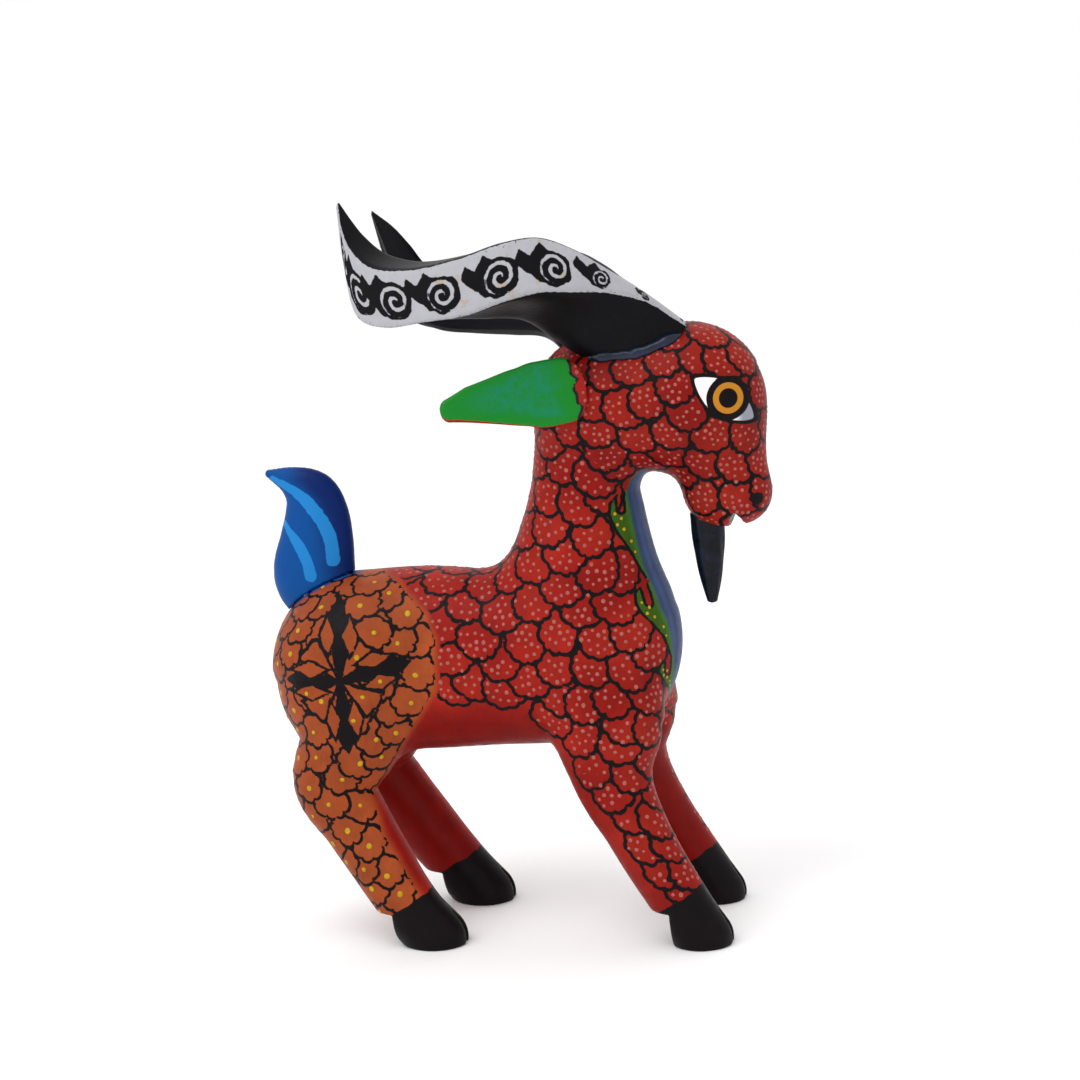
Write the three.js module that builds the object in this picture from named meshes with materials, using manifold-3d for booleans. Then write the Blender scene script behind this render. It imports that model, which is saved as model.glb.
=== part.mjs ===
// A carved copal-wood goat in the painted style of the Oaxaca valleys, built the way a carver assembles
// one: a trunk with its neck, a head, four legs, two ears, a beard, a tail and two blade horns. Each is
// a piece of its own on a wooden dowel. The legs, the head, the ears and the beard are glued for good,
// and the horns and the tail only plug in, so they pull off along their pegs. Millimetres, +X the way
// the goat faces, +Y its left, +Z up.

import * as THREE from "three";
import { mergeVertices } from "three/addons/utils/BufferGeometryUtils.js";
import Module from "manifold-3d";

const wasm = await Module();
wasm.setup();

// ---- driving dimensions -------------------------------------------------------------------------

const GAP = 0.3; // between pieces that touch, and round a dowel in its hole
const SEAM_Z = 60; // level of the flat joints where the legs meet the trunk
// The head joint is a plane through these two points and across the goat.
const NAPE = new THREE.Vector3(0, 0, 182);
const THROAT = new THREE.Vector3(38, 0, 149.5);
const SKIN_CELL = 4.8; // grid step of the body's surface
const DETAIL_CELL = 3; // grid step of the tail's and the ears' surfaces
const BLEND = 7; // how far one carved form melts into the next
const STANCE = 24; // half the distance between left and right hooves
const SOLE_Z = 1.4; // the rows below stand on this level, which becomes the ground
const STEP_Z = 13.2; // height of the notch cut behind each hoof
const CLEFT = { width: 2.6, depth: 5, height: 15 }; // the split at the front of each hoof
const DOWEL_SIDES = 20;
const SLIVER = 0.02; // detail finer than this is dropped

// A row of a form is the centre x, y, z, then its radius seen from the side and its half-width across
// the goat.
const TRUNK = [
  [-64, 0, 94, 31, 23],
  [-40, 0, 94.5, 31.3, 24],
  [-14, 0, 93.8, 29.6, 23.5],
  [14, 0, 94, 29.5, 24],
];
const NECK = [
  [14.4, 0, 108, 28.2, 21],
  [14.5, 0, 124, 24.5, 19.5],
  [15.8, 0, 138, 20.6, 17.5],
  [17, 0, 152, 18, 16.5],
  [20, 0, 166, 18.4, 17],
  [25, 0, 178, 22, 18.5],
];
const SKULL = [
  [25, 0, 178, 22, 18.5],
  [37, 0, 179, 22.4, 19.5],
  [46, 0, 179.3, 22.9, 19.8],
  [53.4, 0, 178.8, 23.4, 18.6],
];
const FACE = [
  [53.4, 0, 178.8, 23.4, 18.6],
  [59.5, 0, 167, 17.8, 15],
  [62.8, 0, 156, 14.6, 12],
  [64, 0, 150, 13, 10.5],
];
const LIPS = [
  [58.8, 0, 146.6, 7.4, 8.4],
  [69.6, 0, 146.6, 7.6, 7.8],
];
const TAIL = [
  [-77, 0, 117, 12, 7.6],
  [-79.3, 0, 124, 14.4, 7.4],
  [-77.6, 0, 135, 12.9, 6.8],
  [-76.6, 0, 144, 11.2, 6],
  [-77.6, 0, 150.6, 9.4, 5],
  [-83.5, 0, 156, 5.4, 3.6],
  [-92.2, 0, 159.4, 1.5, 1.5],
];
// Rows of a right leg. drift moves a leg's lower end forward, since no two legs of a hand-carved goat
// stand alike.
const FRONT_LEG = [
  [21, -13.5, 75, 19.5, 13.5],
  [21.5, -15.5, 61, 14.4, 11.5],
  [24, -17.5, 51.5, 12.4, 10.4],
  [29.5, -19.5, 40.3, 10.7, 9.6],
  [35.3, -21.5, 29.6, 10.1, 9.2],
  [42, -23.2, 18.6, 9.7, 8.8],
  [46, -STANCE, 12, 9.6, 8.8],
];
const FRONT_HOOF = [
  [46, -STANCE, 12, 9.6, 8.8],
  [50.8, -STANCE, 3.5, 10.1, 9.4],
];
const HIND_LEG = [
  [-64, -10, 91, 28.5, 19.5],
  [-66, -16, 72, 17.5, 14],
  [-73.2, -17.5, 56, 13.9, 11.4],
  [-66, -19.5, 42.5, 11.9, 10],
  [-59, -21.2, 31, 11.1, 9.6],
  [-51.5, -23, 18.8, 10.3, 9.2],
  [-46, -STANCE, 11, 10.2, 9],
];
const HIND_HOOF = [
  [-46, -STANCE, 11, 10.2, 9],
  [-39.6, -STANCE, 3.5, 10.4, 9.6],
];
const LEGS = {
  front_leg_right: { rows: FRONT_LEG, hoof: FRONT_HOOF, heel: 41, side: 1, drift: 0 },
  front_leg_left: { rows: FRONT_LEG, hoof: FRONT_HOOF, heel: 41, side: -1, drift: -2.5 },
  hind_leg_right: { rows: HIND_LEG, hoof: HIND_HOOF, heel: -53, side: 1, drift: 0 },
  hind_leg_left: { rows: HIND_LEG, hoof: HIND_HOOF, heel: -53, side: -1, drift: 5.5 },
};
const EAR = { root: [22.5, -19.2, 188], tip: [-19.5, -31.5, 182], inner: 4.8, outer: 2.4, hollow: 2 };
const EAR_SHAPE = [
  // along the ear from root to tip, 0 to 1, and the half-width there
  [0, 8.6],
  [0.1, 11.8],
  [0.25, 12],
  [0.48, 9.8],
  [0.7, 7],
  [0.9, 4.6],
  [1, 3.6],
];

// The right horn's five long edges at each station from its brow end to its tip. "top" and "low" bound
// the white outer face. "rim" and "foot" are the outer and inner edges of its root, sunk into the crown,
// and further back of its underside. "inner" is the upper inner edge.
const HORN = [
  {
    top: [55, -9, 205], low: [55.5, -10, 203.5], rim: [53.5, -10.5, 200],
    foot: [53, -5, 199.5], inner: [53.5, -5, 204],
  },
  {
    top: [44, -14, 215], low: [44.5, -17, 213], rim: [44, -13.5, 195.5],
    foot: [43, -4, 195], inner: [42.5, -5.5, 214],
  },
  {
    top: [32, -21.5, 225], low: [31.5, -27.5, 218], rim: [30, -15, 194.5],
    foot: [29, -4, 194], inner: [29, -9.5, 224],
  },
  {
    top: [23.5, -26.5, 231.5], low: [24.5, -32, 218.5], rim: [22.5, -15, 195],
    foot: [22, -4.5, 195], inner: [21.5, -14.5, 229.5],
  },
  {
    top: [13.5, -31, 236], low: [14.5, -36.5, 219], rim: [13, -15, 201],
    foot: [14, -6, 201], inner: [12, -19.5, 234],
  },
  {
    top: [2, -34.5, 235], low: [3.5, -39, 216.5], rim: [4, -18, 208],
    foot: [5, -12.5, 211], inner: [1.5, -24, 234.5],
  },
  {
    top: [-10.5, -36.5, 231.5], low: [-9.5, -40, 212.5], rim: [-9, -24.5, 210],
    foot: [-8.5, -20, 213.5], inner: [-11, -26, 231.5],
  },
  {
    top: [-27, -36, 228.5], low: [-23, -39.5, 211], rim: [-23.5, -29, 211],
    foot: [-23, -25.5, 213.5], inner: [-26.5, -24.5, 230.5],
  },
  {
    top: [-41.5, -32, 229.5], low: [-37.5, -36, 209.5], rim: [-36, -28.5, 210.5],
    foot: [-35.5, -25.5, 213], inner: [-38.5, -21.5, 234],
  },
  {
    top: [-49, -27.5, 235], low: [-47.5, -31, 212.5], rim: [-45, -26, 214.5],
    foot: [-44, -23.5, 216.5], inner: [-45.5, -19.5, 239.5],
  },
  {
    top: [-52.5, -24, 241.5], low: [-52, -26.5, 229.5], rim: [-50, -24, 230.5],
    foot: [-49, -22, 231.5], inner: [-50, -18.5, 244.5],
  },
  {
    top: [-54, -20.5, 250], low: [-54.5, -21, 248.5], rim: [-54, -20.5, 248.2],
    foot: [-53.8, -20, 248.5], inner: [-53.5, -19.8, 249.8],
  },
];
const HORN_STEPS = 3; // rings between stations
const SIDE_STEPS = 3; // points along each side of a horn's section
const LEFT_SHIFT = [-0.6, 0, -5.2]; // the left horn and ear sit lower and further back than the right
const LEFT_SAG = [0, 2, 3.5, 4, 4, 4.5, 5.5, 5.5, 3, 1, 0, 0]; // how far it hangs at each station
const LEFT_BREADTH = [0, 0, 0, 0, 0, 0, 0, 1, 2.5, 5, 4.5, 0]; // how much further its inner edge reaches

const BEARD = { x: 56.8, top: 141, length: 30.5, half: 5.7, flat: 0.82, tip: 1.9 };
const PEGS = {
  neck: { radius: 6, length: 34 },
  leg: { radius: 3.5, length: 24 },
  ear: { radius: 2.4, length: 11, centre: [19.5, -13.8, 187.6], direction: [0.25, 0.968, 0] },
  horn: { radius: 3, length: 18, x: 30, z: 195.5, right: 10.6, left: 12.2 }, // right, left: how far out
  tail: { radius: 3.5, length: 26 },
  beard: { radius: 2.6, length: 9 },
};

// ---- solids -------------------------------------------------------------------------------------

/** A manifold-3d solid of a closed three.js geometry. */
function solidOf(geometry) {
  const bare = geometry.clone();
  bare.deleteAttribute("normal");
  bare.deleteAttribute("uv");
  const merged = mergeVertices(bare, 1e-4);
  return new wasm.Manifold(
    new wasm.Mesh({
      numProp: 3,
      vertProperties: new Float32Array(merged.attributes.position.array),
      triVerts: new Uint32Array(merged.index.array),
    }),
  );
}

/** The three.js geometry of a manifold-3d solid, less the slivers that a cut leaves along its edges. */
function geometryOf(solid) {
  const mesh = solid.simplify(SLIVER).getMesh();
  const geometry = new THREE.BufferGeometry();
  geometry.setAttribute("position", new THREE.BufferAttribute(new Float32Array(mesh.vertProperties), 3));
  geometry.setIndex(new THREE.BufferAttribute(new Uint32Array(mesh.triVerts), 1));
  geometry.computeVertexNormals();
  return geometry;
}

/** A box between two corners. */
function block(low, high) {
  const size = new THREE.Vector3().subVectors(high, low);
  const middle = new THREE.Vector3().addVectors(low, high).multiplyScalar(0.5);
  return solidOf(new THREE.BoxGeometry(size.x, size.y, size.z).translate(...middle.toArray()));
}

/** A round rod of that radius and length, centred on a point and lying along a direction. */
function rod(centre, direction, radius, length) {
  const turn = new THREE.Quaternion().setFromUnitVectors(new THREE.Vector3(0, 1, 0), direction);
  const geometry = new THREE.CylinderGeometry(radius, radius, length, DOWEL_SIDES);
  return solidOf(geometry.applyQuaternion(turn).translate(...centre.toArray()));
}

/** A dowel and the hole that takes it, GAP wider all round. */
function dowel(centre, direction, { radius, length }) {
  return {
    peg: rod(centre, direction, radius, length),
    hole: rod(centre, direction, radius + GAP, length + 2 * GAP),
  };
}

// ---- carved forms -------------------------------------------------------------------------------

/** Distance to a smooth limb whose rows are joined by a curve, as a function of a point. */
function limb(rows, stepsPerRow = 5) {
  const centres = new THREE.CatmullRomCurve3(rows.map(([x, y, z]) => new THREE.Vector3(x, y, z)));
  const girths = new THREE.CatmullRomCurve3(rows.map(([, , , r, w]) => new THREE.Vector3(r, w, 0)));
  const count = (rows.length - 1) * stepsPerRow;
  const centre = centres.getPoints(count);
  const girth = girths.getPoints(count);
  return (x, y, z) => {
    let nearest = Infinity;
    for (let i = 0; i < count; i++) {
      const a = centre[i];
      const b = centre[i + 1];
      const ux = b.x - a.x;
      const uy = b.y - a.y;
      const uz = b.z - a.z;
      const along = ((x - a.x) * ux + (y - a.y) * uy + (z - a.z) * uz) / (ux * ux + uy * uy + uz * uz);
      const t = Math.min(1, Math.max(0, along));
      const r = girth[i].x + (girth[i + 1].x - girth[i].x) * t;
      const w = girth[i].y + (girth[i + 1].y - girth[i].y) * t;
      const across = (y - a.y - uy * t) * (r / w);
      nearest = Math.min(nearest, Math.hypot(x - a.x - ux * t, across, z - a.z - uz * t) - r);
    }
    return nearest;
  };
}

/** The smooth union of several distances, where neighbours melt together over the blend length. */
function melted(distances, blend = BLEND) {
  return (x, y, z) =>
    distances
      .map((distance) => distance(x, y, z))
      .reduce((a, b) => {
        const near = Math.max(blend - Math.abs(a - b), 0) / blend;
        return Math.min(a, b) - (near * near * blend) / 4;
      });
}

/** The closed surface where a distance is zero: quads between grid cells, each corner moved onto it. */
function skinOf(distance, low, high, cell) {
  const count = [0, 1, 2].map((k) => Math.ceil((high[k] - low[k]) / cell) + 1);
  const at = (i, j, k) => (i * count[1] + j) * count[2] + k;
  const place = (i, j, k) => [low[0] + i * cell, low[1] + j * cell, low[2] + k * cell];
  const value = new Float64Array(count[0] * count[1] * count[2]);
  const everyCorner = (visit) => {
    for (let i = 0; i < count[0]; i++)
      for (let j = 0; j < count[1]; j++) for (let k = 0; k < count[2]; k++) visit(i, j, k);
  };
  everyCorner((i, j, k) => (value[at(i, j, k)] = distance(...place(i, j, k))));

  const corners = [0, 1, 2, 3, 4, 5, 6, 7].map((n) => [n & 1, (n >> 1) & 1, (n >> 2) & 1]);
  const edges = corners.flatMap((a, n) =>
    corners.map((b, m) => [n, m]).filter(([p, q]) => p < q && [1, 2, 4].includes(p ^ q)),
  );
  const positions = [];
  const vertexOf = new Map();
  everyCorner((i, j, k) => {
    if (i + 1 >= count[0] || j + 1 >= count[1] || k + 1 >= count[2]) return;
    const v = corners.map(([a, b, c]) => value[at(i + a, j + b, k + c)]);
    const crossed = edges.filter(([n, m]) => v[n] < 0 !== v[m] < 0);
    if (!crossed.length) return;
    const point = new THREE.Vector3();
    for (const [n, m] of crossed) {
      const t = v[n] / (v[n] - v[m]);
      const [a, b] = [corners[n], corners[m]];
      point.add(new THREE.Vector3(...[0, 1, 2].map((q) => a[q] + (b[q] - a[q]) * t)));
    }
    point.divideScalar(crossed.length);
    const spot = new THREE.Vector3(...place(i, j, k)).addScaledVector(point, cell);
    vertexOf.set(at(i, j, k), positions.length / 3);
    positions.push(...ontoSurface(distance, spot, cell).toArray());
  });

  const faces = [];
  everyCorner((i, j, k) => {
    [
      [1, 0, 0],
      [0, 1, 0],
      [0, 0, 1],
    ].forEach((step, axis) => {
      const next = [i + step[0], j + step[1], k + step[2]];
      if (next[axis] >= count[axis]) return;
      const [inside, outside] = [value[at(i, j, k)] < 0, value[at(...next)] < 0];
      if (inside === outside) return;
      const [u, v] = [(axis + 1) % 3, (axis + 2) % 3];
      const around = [
        [0, 0],
        [-1, 0],
        [-1, -1],
        [0, -1],
      ].map(([du, dv]) => {
        const c = [i, j, k];
        c[u] += du;
        c[v] += dv;
        return vertexOf.get(at(...c));
      });
      const [p, q, r, s] = inside ? around : around.reverse();
      faces.push(p, q, r, p, r, s);
    });
  });
  const geometry = new THREE.BufferGeometry();
  geometry.setAttribute("position", new THREE.Float32BufferAttribute(positions, 3));
  geometry.setIndex(faces);
  return geometry;
}

/** A point moved along the slope of a distance until it lies on its surface, half a cell at most. */
function ontoSurface(distance, start, cell) {
  const probe = 0.05;
  const moved = start.clone();
  for (let turn = 0; turn < 2; turn++) {
    const here = distance(moved.x, moved.y, moved.z);
    const slope = new THREE.Vector3(
      distance(moved.x + probe, moved.y, moved.z) - here,
      distance(moved.x, moved.y + probe, moved.z) - here,
      distance(moved.x, moved.y, moved.z + probe) - here,
    ).divideScalar(probe);
    moved.addScaledVector(slope, -here / Math.max(slope.lengthSq(), 0.2));
  }
  const shift = moved.clone().sub(start);
  return start.clone().add(shift.clampLength(0, cell / 2));
}

/** A closed loft through rings of equally many points, with a flat fan over each end. */
function loft(rings) {
  const across = rings[0].length;
  const positions = rings.flat().flatMap((p) => [p.x, p.y, p.z]);
  const ends = [rings[0], rings[rings.length - 1]].map((ring) => {
    const middle = ring.reduce((sum, p) => sum.add(p), new THREE.Vector3()).divideScalar(across);
    positions.push(middle.x, middle.y, middle.z);
    return positions.length / 3 - 1;
  });
  const faces = [];
  for (let i = 0; i < across; i++) {
    const j = (i + 1) % across;
    for (let row = 0; row < rings.length - 1; row++) {
      const [a, b] = [row * across + i, row * across + j];
      faces.push(a, b, b + across, a, b + across, a + across);
    }
    const last = (rings.length - 1) * across;
    faces.push(ends[0], j, i, ends[1], last + i, last + j);
  }
  const geometry = new THREE.BufferGeometry();
  geometry.setAttribute("position", new THREE.Float32BufferAttribute(positions, 3));
  geometry.setIndex(faces);
  return geometry;
}

/** The biggest of a cut solid's bodies, without the crumbs a cut can leave. */
const biggest = (solid) => solid.decompose().reduce((a, b) => (a.volume() > b.volume() ? a : b));

/** The same solid on the goat's other side. */
const mirrored = (solid) => solid.mirror([0, 1, 0]);

// ---- the goat's trunk, head and legs, carved as one flowing form and parted at the joints -------

/** A leg's rows on its own side, its lower rows moved forward by its drift. */
function legRows(rows, { side, drift }) {
  const highest = rows[0][2];
  return rows.map(([x, y, z, r, w]) => {
    const shift = drift * Math.min(1, 1.25 * (1 - z / highest));
    return [x + shift, y * side, z, r, w];
  });
}

function wholeFigure(grow = 0) {
  const legs = Object.values(LEGS).flatMap((leg) => {
    const rows = legRows([...leg.rows, ...leg.hoof.slice(1)], leg);
    return [limb(rows)];
  });
  const trunk = melted([limb(TRUNK), limb(NECK)], 14);
  const form = melted([trunk, limb(SKULL), limb(FACE), limb(LIPS), ...legs]);
  return (x, y, z) => form(x, y, z) - grow;
}

/** The space behind a hoof, under the end of the shank, and the split between its two claws. */
function hoofCuts({ heel, side, drift, hoof }) {
  const lateral = -STANCE * side;
  const [toeX, , , toeRadius] = hoof[1];
  const reach = 16;
  const notch = block(
    new THREE.Vector3(heel + drift - reach, lateral - reach, -reach),
    new THREE.Vector3(heel + drift, lateral + reach, STEP_Z),
  );
  const wedge = new THREE.Shape([
    new THREE.Vector2(0, 0),
    new THREE.Vector2(CLEFT.depth, CLEFT.width / 2),
    new THREE.Vector2(CLEFT.depth * 2, CLEFT.width / 2),
    new THREE.Vector2(CLEFT.depth * 2, -CLEFT.width / 2),
    new THREE.Vector2(CLEFT.depth, -CLEFT.width / 2),
  ]);
  const split = new THREE.ExtrudeGeometry(wedge, { depth: CLEFT.height, bevelEnabled: false });
  split.translate(toeX + drift + toeRadius - CLEFT.depth, lateral, 0);
  return [notch, solidOf(split)];
}

/** The mouth: a wedge cut up into the muzzle from below, right across it. */
function mouthCut() {
  const profile = new THREE.Shape([
    new THREE.Vector2(64.4, 136),
    new THREE.Vector2(69.8, 136),
    new THREE.Vector2(68.6, 139.6),
    new THREE.Vector2(67, 142),
    new THREE.Vector2(65.2, 139.6),
  ]);
  const cut = new THREE.ExtrudeGeometry(profile, { depth: 40, bevelEnabled: false });
  return solidOf(cut.rotateX(Math.PI / 2).translate(0, 20, 0));
}

const LOW = [-102, -42, -12];
const HIGH = [88, 44, 212];
const FAR = 300;

/** The half of space beyond the head joint, on the head's side, starting offset away from it. */
function headSpace(offset) {
  const along = new THREE.Vector3().subVectors(THROAT, NAPE).normalize();
  const across = new THREE.Vector3(0, 1, 0);
  const up = new THREE.Vector3().crossVectors(along, across);
  const frame = new THREE.Matrix4().makeBasis(along, across, up).setPosition(NAPE);
  const box = new THREE.BoxGeometry(FAR * 2, FAR, FAR).translate(0, 0, FAR / 2 + offset);
  return { solid: solidOf(box.applyMatrix4(frame)), normal: up };
}

const figure = (() => {
  const floor = block(new THREE.Vector3(-FAR, -FAR, -FAR), new THREE.Vector3(FAR, FAR, SOLE_Z));
  let solid = solidOf(skinOf(wholeFigure(), LOW, HIGH, SKIN_CELL)).subtract(floor).subtract(mouthCut());
  for (const leg of Object.values(LEGS)) for (const cut of hoofCuts(leg)) solid = solid.subtract(cut);
  return solid;
})();

const headSide = headSpace(GAP / 2);
let head = figure.intersect(headSide.solid);
let body = figure
  .subtract(headSpace(-GAP / 2).solid)
  .subtract(block(new THREE.Vector3(-FAR, -FAR, -FAR), new THREE.Vector3(FAR, FAR, SEAM_Z + GAP / 2)));

const neckJoint = dowel(
  new THREE.Vector3().addVectors(NAPE, THROAT).multiplyScalar(0.5),
  headSide.normal,
  PEGS.neck,
);
head = head.subtract(neckJoint.hole);
body = body.subtract(neckJoint.hole);

const pieces = {};
const pegs = { neck_dowel: neckJoint.peg };

for (const [name, leg] of Object.entries(LEGS)) {
  const [x, y] = leg.rows.find(([, , z]) => z < SEAM_Z + 2);
  const corner = new THREE.Vector3(x < 0 ? -FAR : -20, leg.side > 0 ? -FAR : GAP / 2, -FAR);
  const opposite = new THREE.Vector3(x < 0 ? -20 : FAR, leg.side > 0 ? -GAP / 2 : FAR, SEAM_Z - GAP / 2);
  const joint = dowel(new THREE.Vector3(x, y * leg.side, SEAM_Z), new THREE.Vector3(0, 0, 1), PEGS.leg);
  pieces[name] = biggest(figure.intersect(block(corner, opposite))).subtract(joint.hole);
  body = body.subtract(joint.hole);
  pegs[name.replace("leg", "leg_dowel")] = joint.peg;
}

// ---- the pieces that are set onto the carved form -----------------------------------------------

const skull = solidOf(skinOf(wholeFigure(GAP), LOW, HIGH, SKIN_CELL));

/** A leaf-shaped ear with its hollow side turned out, as rings across it. */
function earLoft() {
  const root = new THREE.Vector3(...EAR.root);
  const axis = new THREE.Vector3(...EAR.tip).sub(root);
  const length = axis.length();
  axis.normalize();
  const out = new THREE.Vector3(0.16, -1, 0.1).projectOnPlane(axis).normalize();
  const up = new THREE.Vector3().crossVectors(out, axis).normalize();
  const shape = new THREE.CatmullRomCurve3(EAR_SHAPE.map(([s, half]) => new THREE.Vector3(s, half, 0)));
  const rings = shape.getPoints(11).map(({ x: s, y: half }) => {
    return ring(root.clone().addScaledVector(axis, s * length), half, s);
  });
  const tip = root.clone().addScaledVector(axis, length + EAR_SHAPE.at(-1)[1] * 0.8);
  return loft([...rings, ring(tip, EAR_SHAPE.at(-1)[1] * 0.45, 1)]);

  function ring(centre, half, s) {
    const points = [];
    const sides = 16;
    const taper = 1 - 0.45 * s;
    for (let i = 0; i < sides; i++) {
      const angle = (2 * Math.PI * i) / sides;
      const [c, n] = [Math.cos(angle), Math.sin(angle)];
      const depth = n > 0 ? EAR.outer - EAR.hollow * n * n * Math.sin(Math.PI * s) : EAR.inner;
      points.push(centre.clone().addScaledVector(up, half * c).addScaledVector(out, depth * taper * n));
    }
    return points;
  }
}

/** The ring of the horn at one place along it, its sides a little hollowed, its white face bulged. */
function hornRing({ top, inner, foot, rim, low }) {
  const corners = [top, inner, foot, rim, low].map((p) => new THREE.Vector3(...p));
  const scoops = [0, 0.12, 0, 0.22, -0.05];
  const middle = corners.reduce((sum, p) => sum.add(p), new THREE.Vector3()).divideScalar(corners.length);
  const points = [];
  corners.forEach((from, side) => {
    const to = corners[(side + 1) % corners.length];
    for (let i = 0; i < SIDE_STEPS; i++) {
      const t = 0.07 + (0.86 * i) / (SIDE_STEPS - 1);
      const depth = scoops[side] * 4 * t * (1 - t);
      points.push(from.clone().lerp(to, t).lerp(middle, depth));
    }
  });
  return points;
}

/** A horn on the right side, hung by the sag and reaching further in by the breadth at each station. */
function hornLoft(sag, breadth) {
  const edges = ["top", "inner", "foot", "rim", "low"];
  const rails = edges.map((name) => {
    const points = HORN.map(
      ({ [name]: [x, y, z] }, i) =>
        new THREE.Vector3(x + (name === "inner" ? breadth[i] : 0), y, z - sag[i]),
    );
    return new THREE.CatmullRomCurve3(points).getPoints((HORN.length - 1) * HORN_STEPS);
  });
  const rings = rails[0].map((_, i) =>
    hornRing(Object.fromEntries(edges.map((name, k) => [name, rails[k][i].toArray()]))),
  );
  return solidOf(loft(rings));
}

const UP = new THREE.Vector3(0, 0, 1);
const none = HORN.map(() => 0);
const hornBodies = {
  right: hornLoft(none, none),
  left: mirrored(hornLoft(LEFT_SAG, LEFT_BREADTH)).translate(LEFT_SHIFT),
};
for (const [side, sign] of [["right", -1], ["left", 1]]) {
  const centre = new THREE.Vector3(PEGS.horn.x, sign * PEGS.horn[side], PEGS.horn.z);
  const joint = dowel(centre, UP, PEGS.horn);
  pieces[`horn_${side}`] = hornBodies[side].subtract(skull).subtract(joint.hole);
  head = head.subtract(joint.hole);
  pegs[`horn_peg_${side}`] = joint.peg;
}

const earBlank = solidOf(earLoft());
const earPeg = dowel(
  new THREE.Vector3(...PEGS.ear.centre),
  new THREE.Vector3(...PEGS.ear.direction).normalize(),
  PEGS.ear,
);
const shapes = { right: (s) => s, left: (s) => mirrored(s).translate(LEFT_SHIFT) };
for (const [side, place] of Object.entries(shapes)) {
  const above = hornBodies[side].translate([0, 0, -2 * GAP]);
  pieces[`ear_${side}`] = biggest(place(earBlank.subtract(earPeg.hole)).subtract(skull).subtract(above));
  pegs[`ear_dowel_${side}`] = place(earPeg.peg);
  head = head.subtract(place(earPeg.hole));
}

const tailBlank = solidOf(skinOf(limb(TAIL), [-104, -14, 92], [-56, 14, 170], DETAIL_CELL));
const tailRun = [TAIL[0][0] - TRUNK[0][0], 0, TAIL[0][2] - TRUNK[0][2]];
const tailDirection = new THREE.Vector3(...tailRun).normalize();
const tailJoint = dowel(new THREE.Vector3(-79.2, 0, 117.5), tailDirection, PEGS.tail);
pieces.tail = tailBlank.subtract(skull).subtract(tailJoint.hole);
body = body.subtract(tailJoint.hole);
pegs.tail_peg = tailJoint.peg;

/** The beard: a flattened cone hanging from the chin, with a round tenon turned on its upper end. */
function beardSolid() {
  const { x, top, length, half, flat, tip } = BEARD;
  const profile = [
    [0, -length],
    [tip * 0.7, -length + 0.3],
    [tip, -length + 1.6],
    [half * 0.62, -length * 0.72],
    [half * 0.9, -length * 0.36],
    [half, 0],
    [0, 0],
  ];
  const cone = new THREE.LatheGeometry(profile.map(([r, z]) => new THREE.Vector2(r, z)), DOWEL_SIDES);
  cone.rotateX(Math.PI / 2).scale(1, flat, 1).translate(x, 0, top);
  return solidOf(cone);
}
const tenonHeight = 4;
const chin = BEARD.top - tenonHeight / 2;
const tenon = rod(new THREE.Vector3(BEARD.x, 0, chin + 2), UP, PEGS.beard.radius, PEGS.beard.length);
const tenonHole = rod(
  new THREE.Vector3(BEARD.x, 0, chin + 2),
  UP,
  PEGS.beard.radius + GAP,
  PEGS.beard.length + 2 * GAP,
);
pieces.beard = beardSolid().subtract(skull).add(tenon);
head = head.subtract(tenonHole);

// ---- the assembly -------------------------------------------------------------------------------

const paint = (colour, roughness = 0.45) => new THREE.MeshStandardMaterial({ color: colour, roughness });
const RED = paint(0xc4221a);
const BLACK = paint(0x14161c, 0.5);
const materials = {
  head: RED,
  body: RED,
  front_leg_right: RED,
  front_leg_left: RED,
  hind_leg_right: paint(0xc9572a),
  hind_leg_left: paint(0xc9572a),
  horn_right: BLACK,
  horn_left: BLACK,
  ear_right: paint(0x0d8a3c),
  ear_left: paint(0x0d8a3c),
  tail: paint(0x0b4ea2),
  beard: BLACK,
};
const bareWood = paint(0xc9a36a, 0.8);

const goat = new THREE.Group();
for (const [name, solid] of Object.entries({ body, head, ...pieces, ...pegs })) {
  const mesh = new THREE.Mesh(geometryOf(solid), materials[name] ?? bareWood);
  mesh.name = name;
  goat.add(mesh);
}

// The part's origin is on the ground, under the middle of the goat's bounding box.
const size = new THREE.Box3().setFromObject(goat);
const middle = size.getCenter(new THREE.Vector3());
goat.children.forEach((mesh) => mesh.position.set(-middle.x, -middle.y, -size.min.z));

export default goat;
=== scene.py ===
"""A carved copal-wood goat, painted with scalloped scales, petals, a star and dots, on a plain studio floor.

Lengths in the carving functions are millimetres in the part's own frame: +X the way the goat faces, +Y its
left, +Z up. A finished mesh is in metres.
"""

import math

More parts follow.
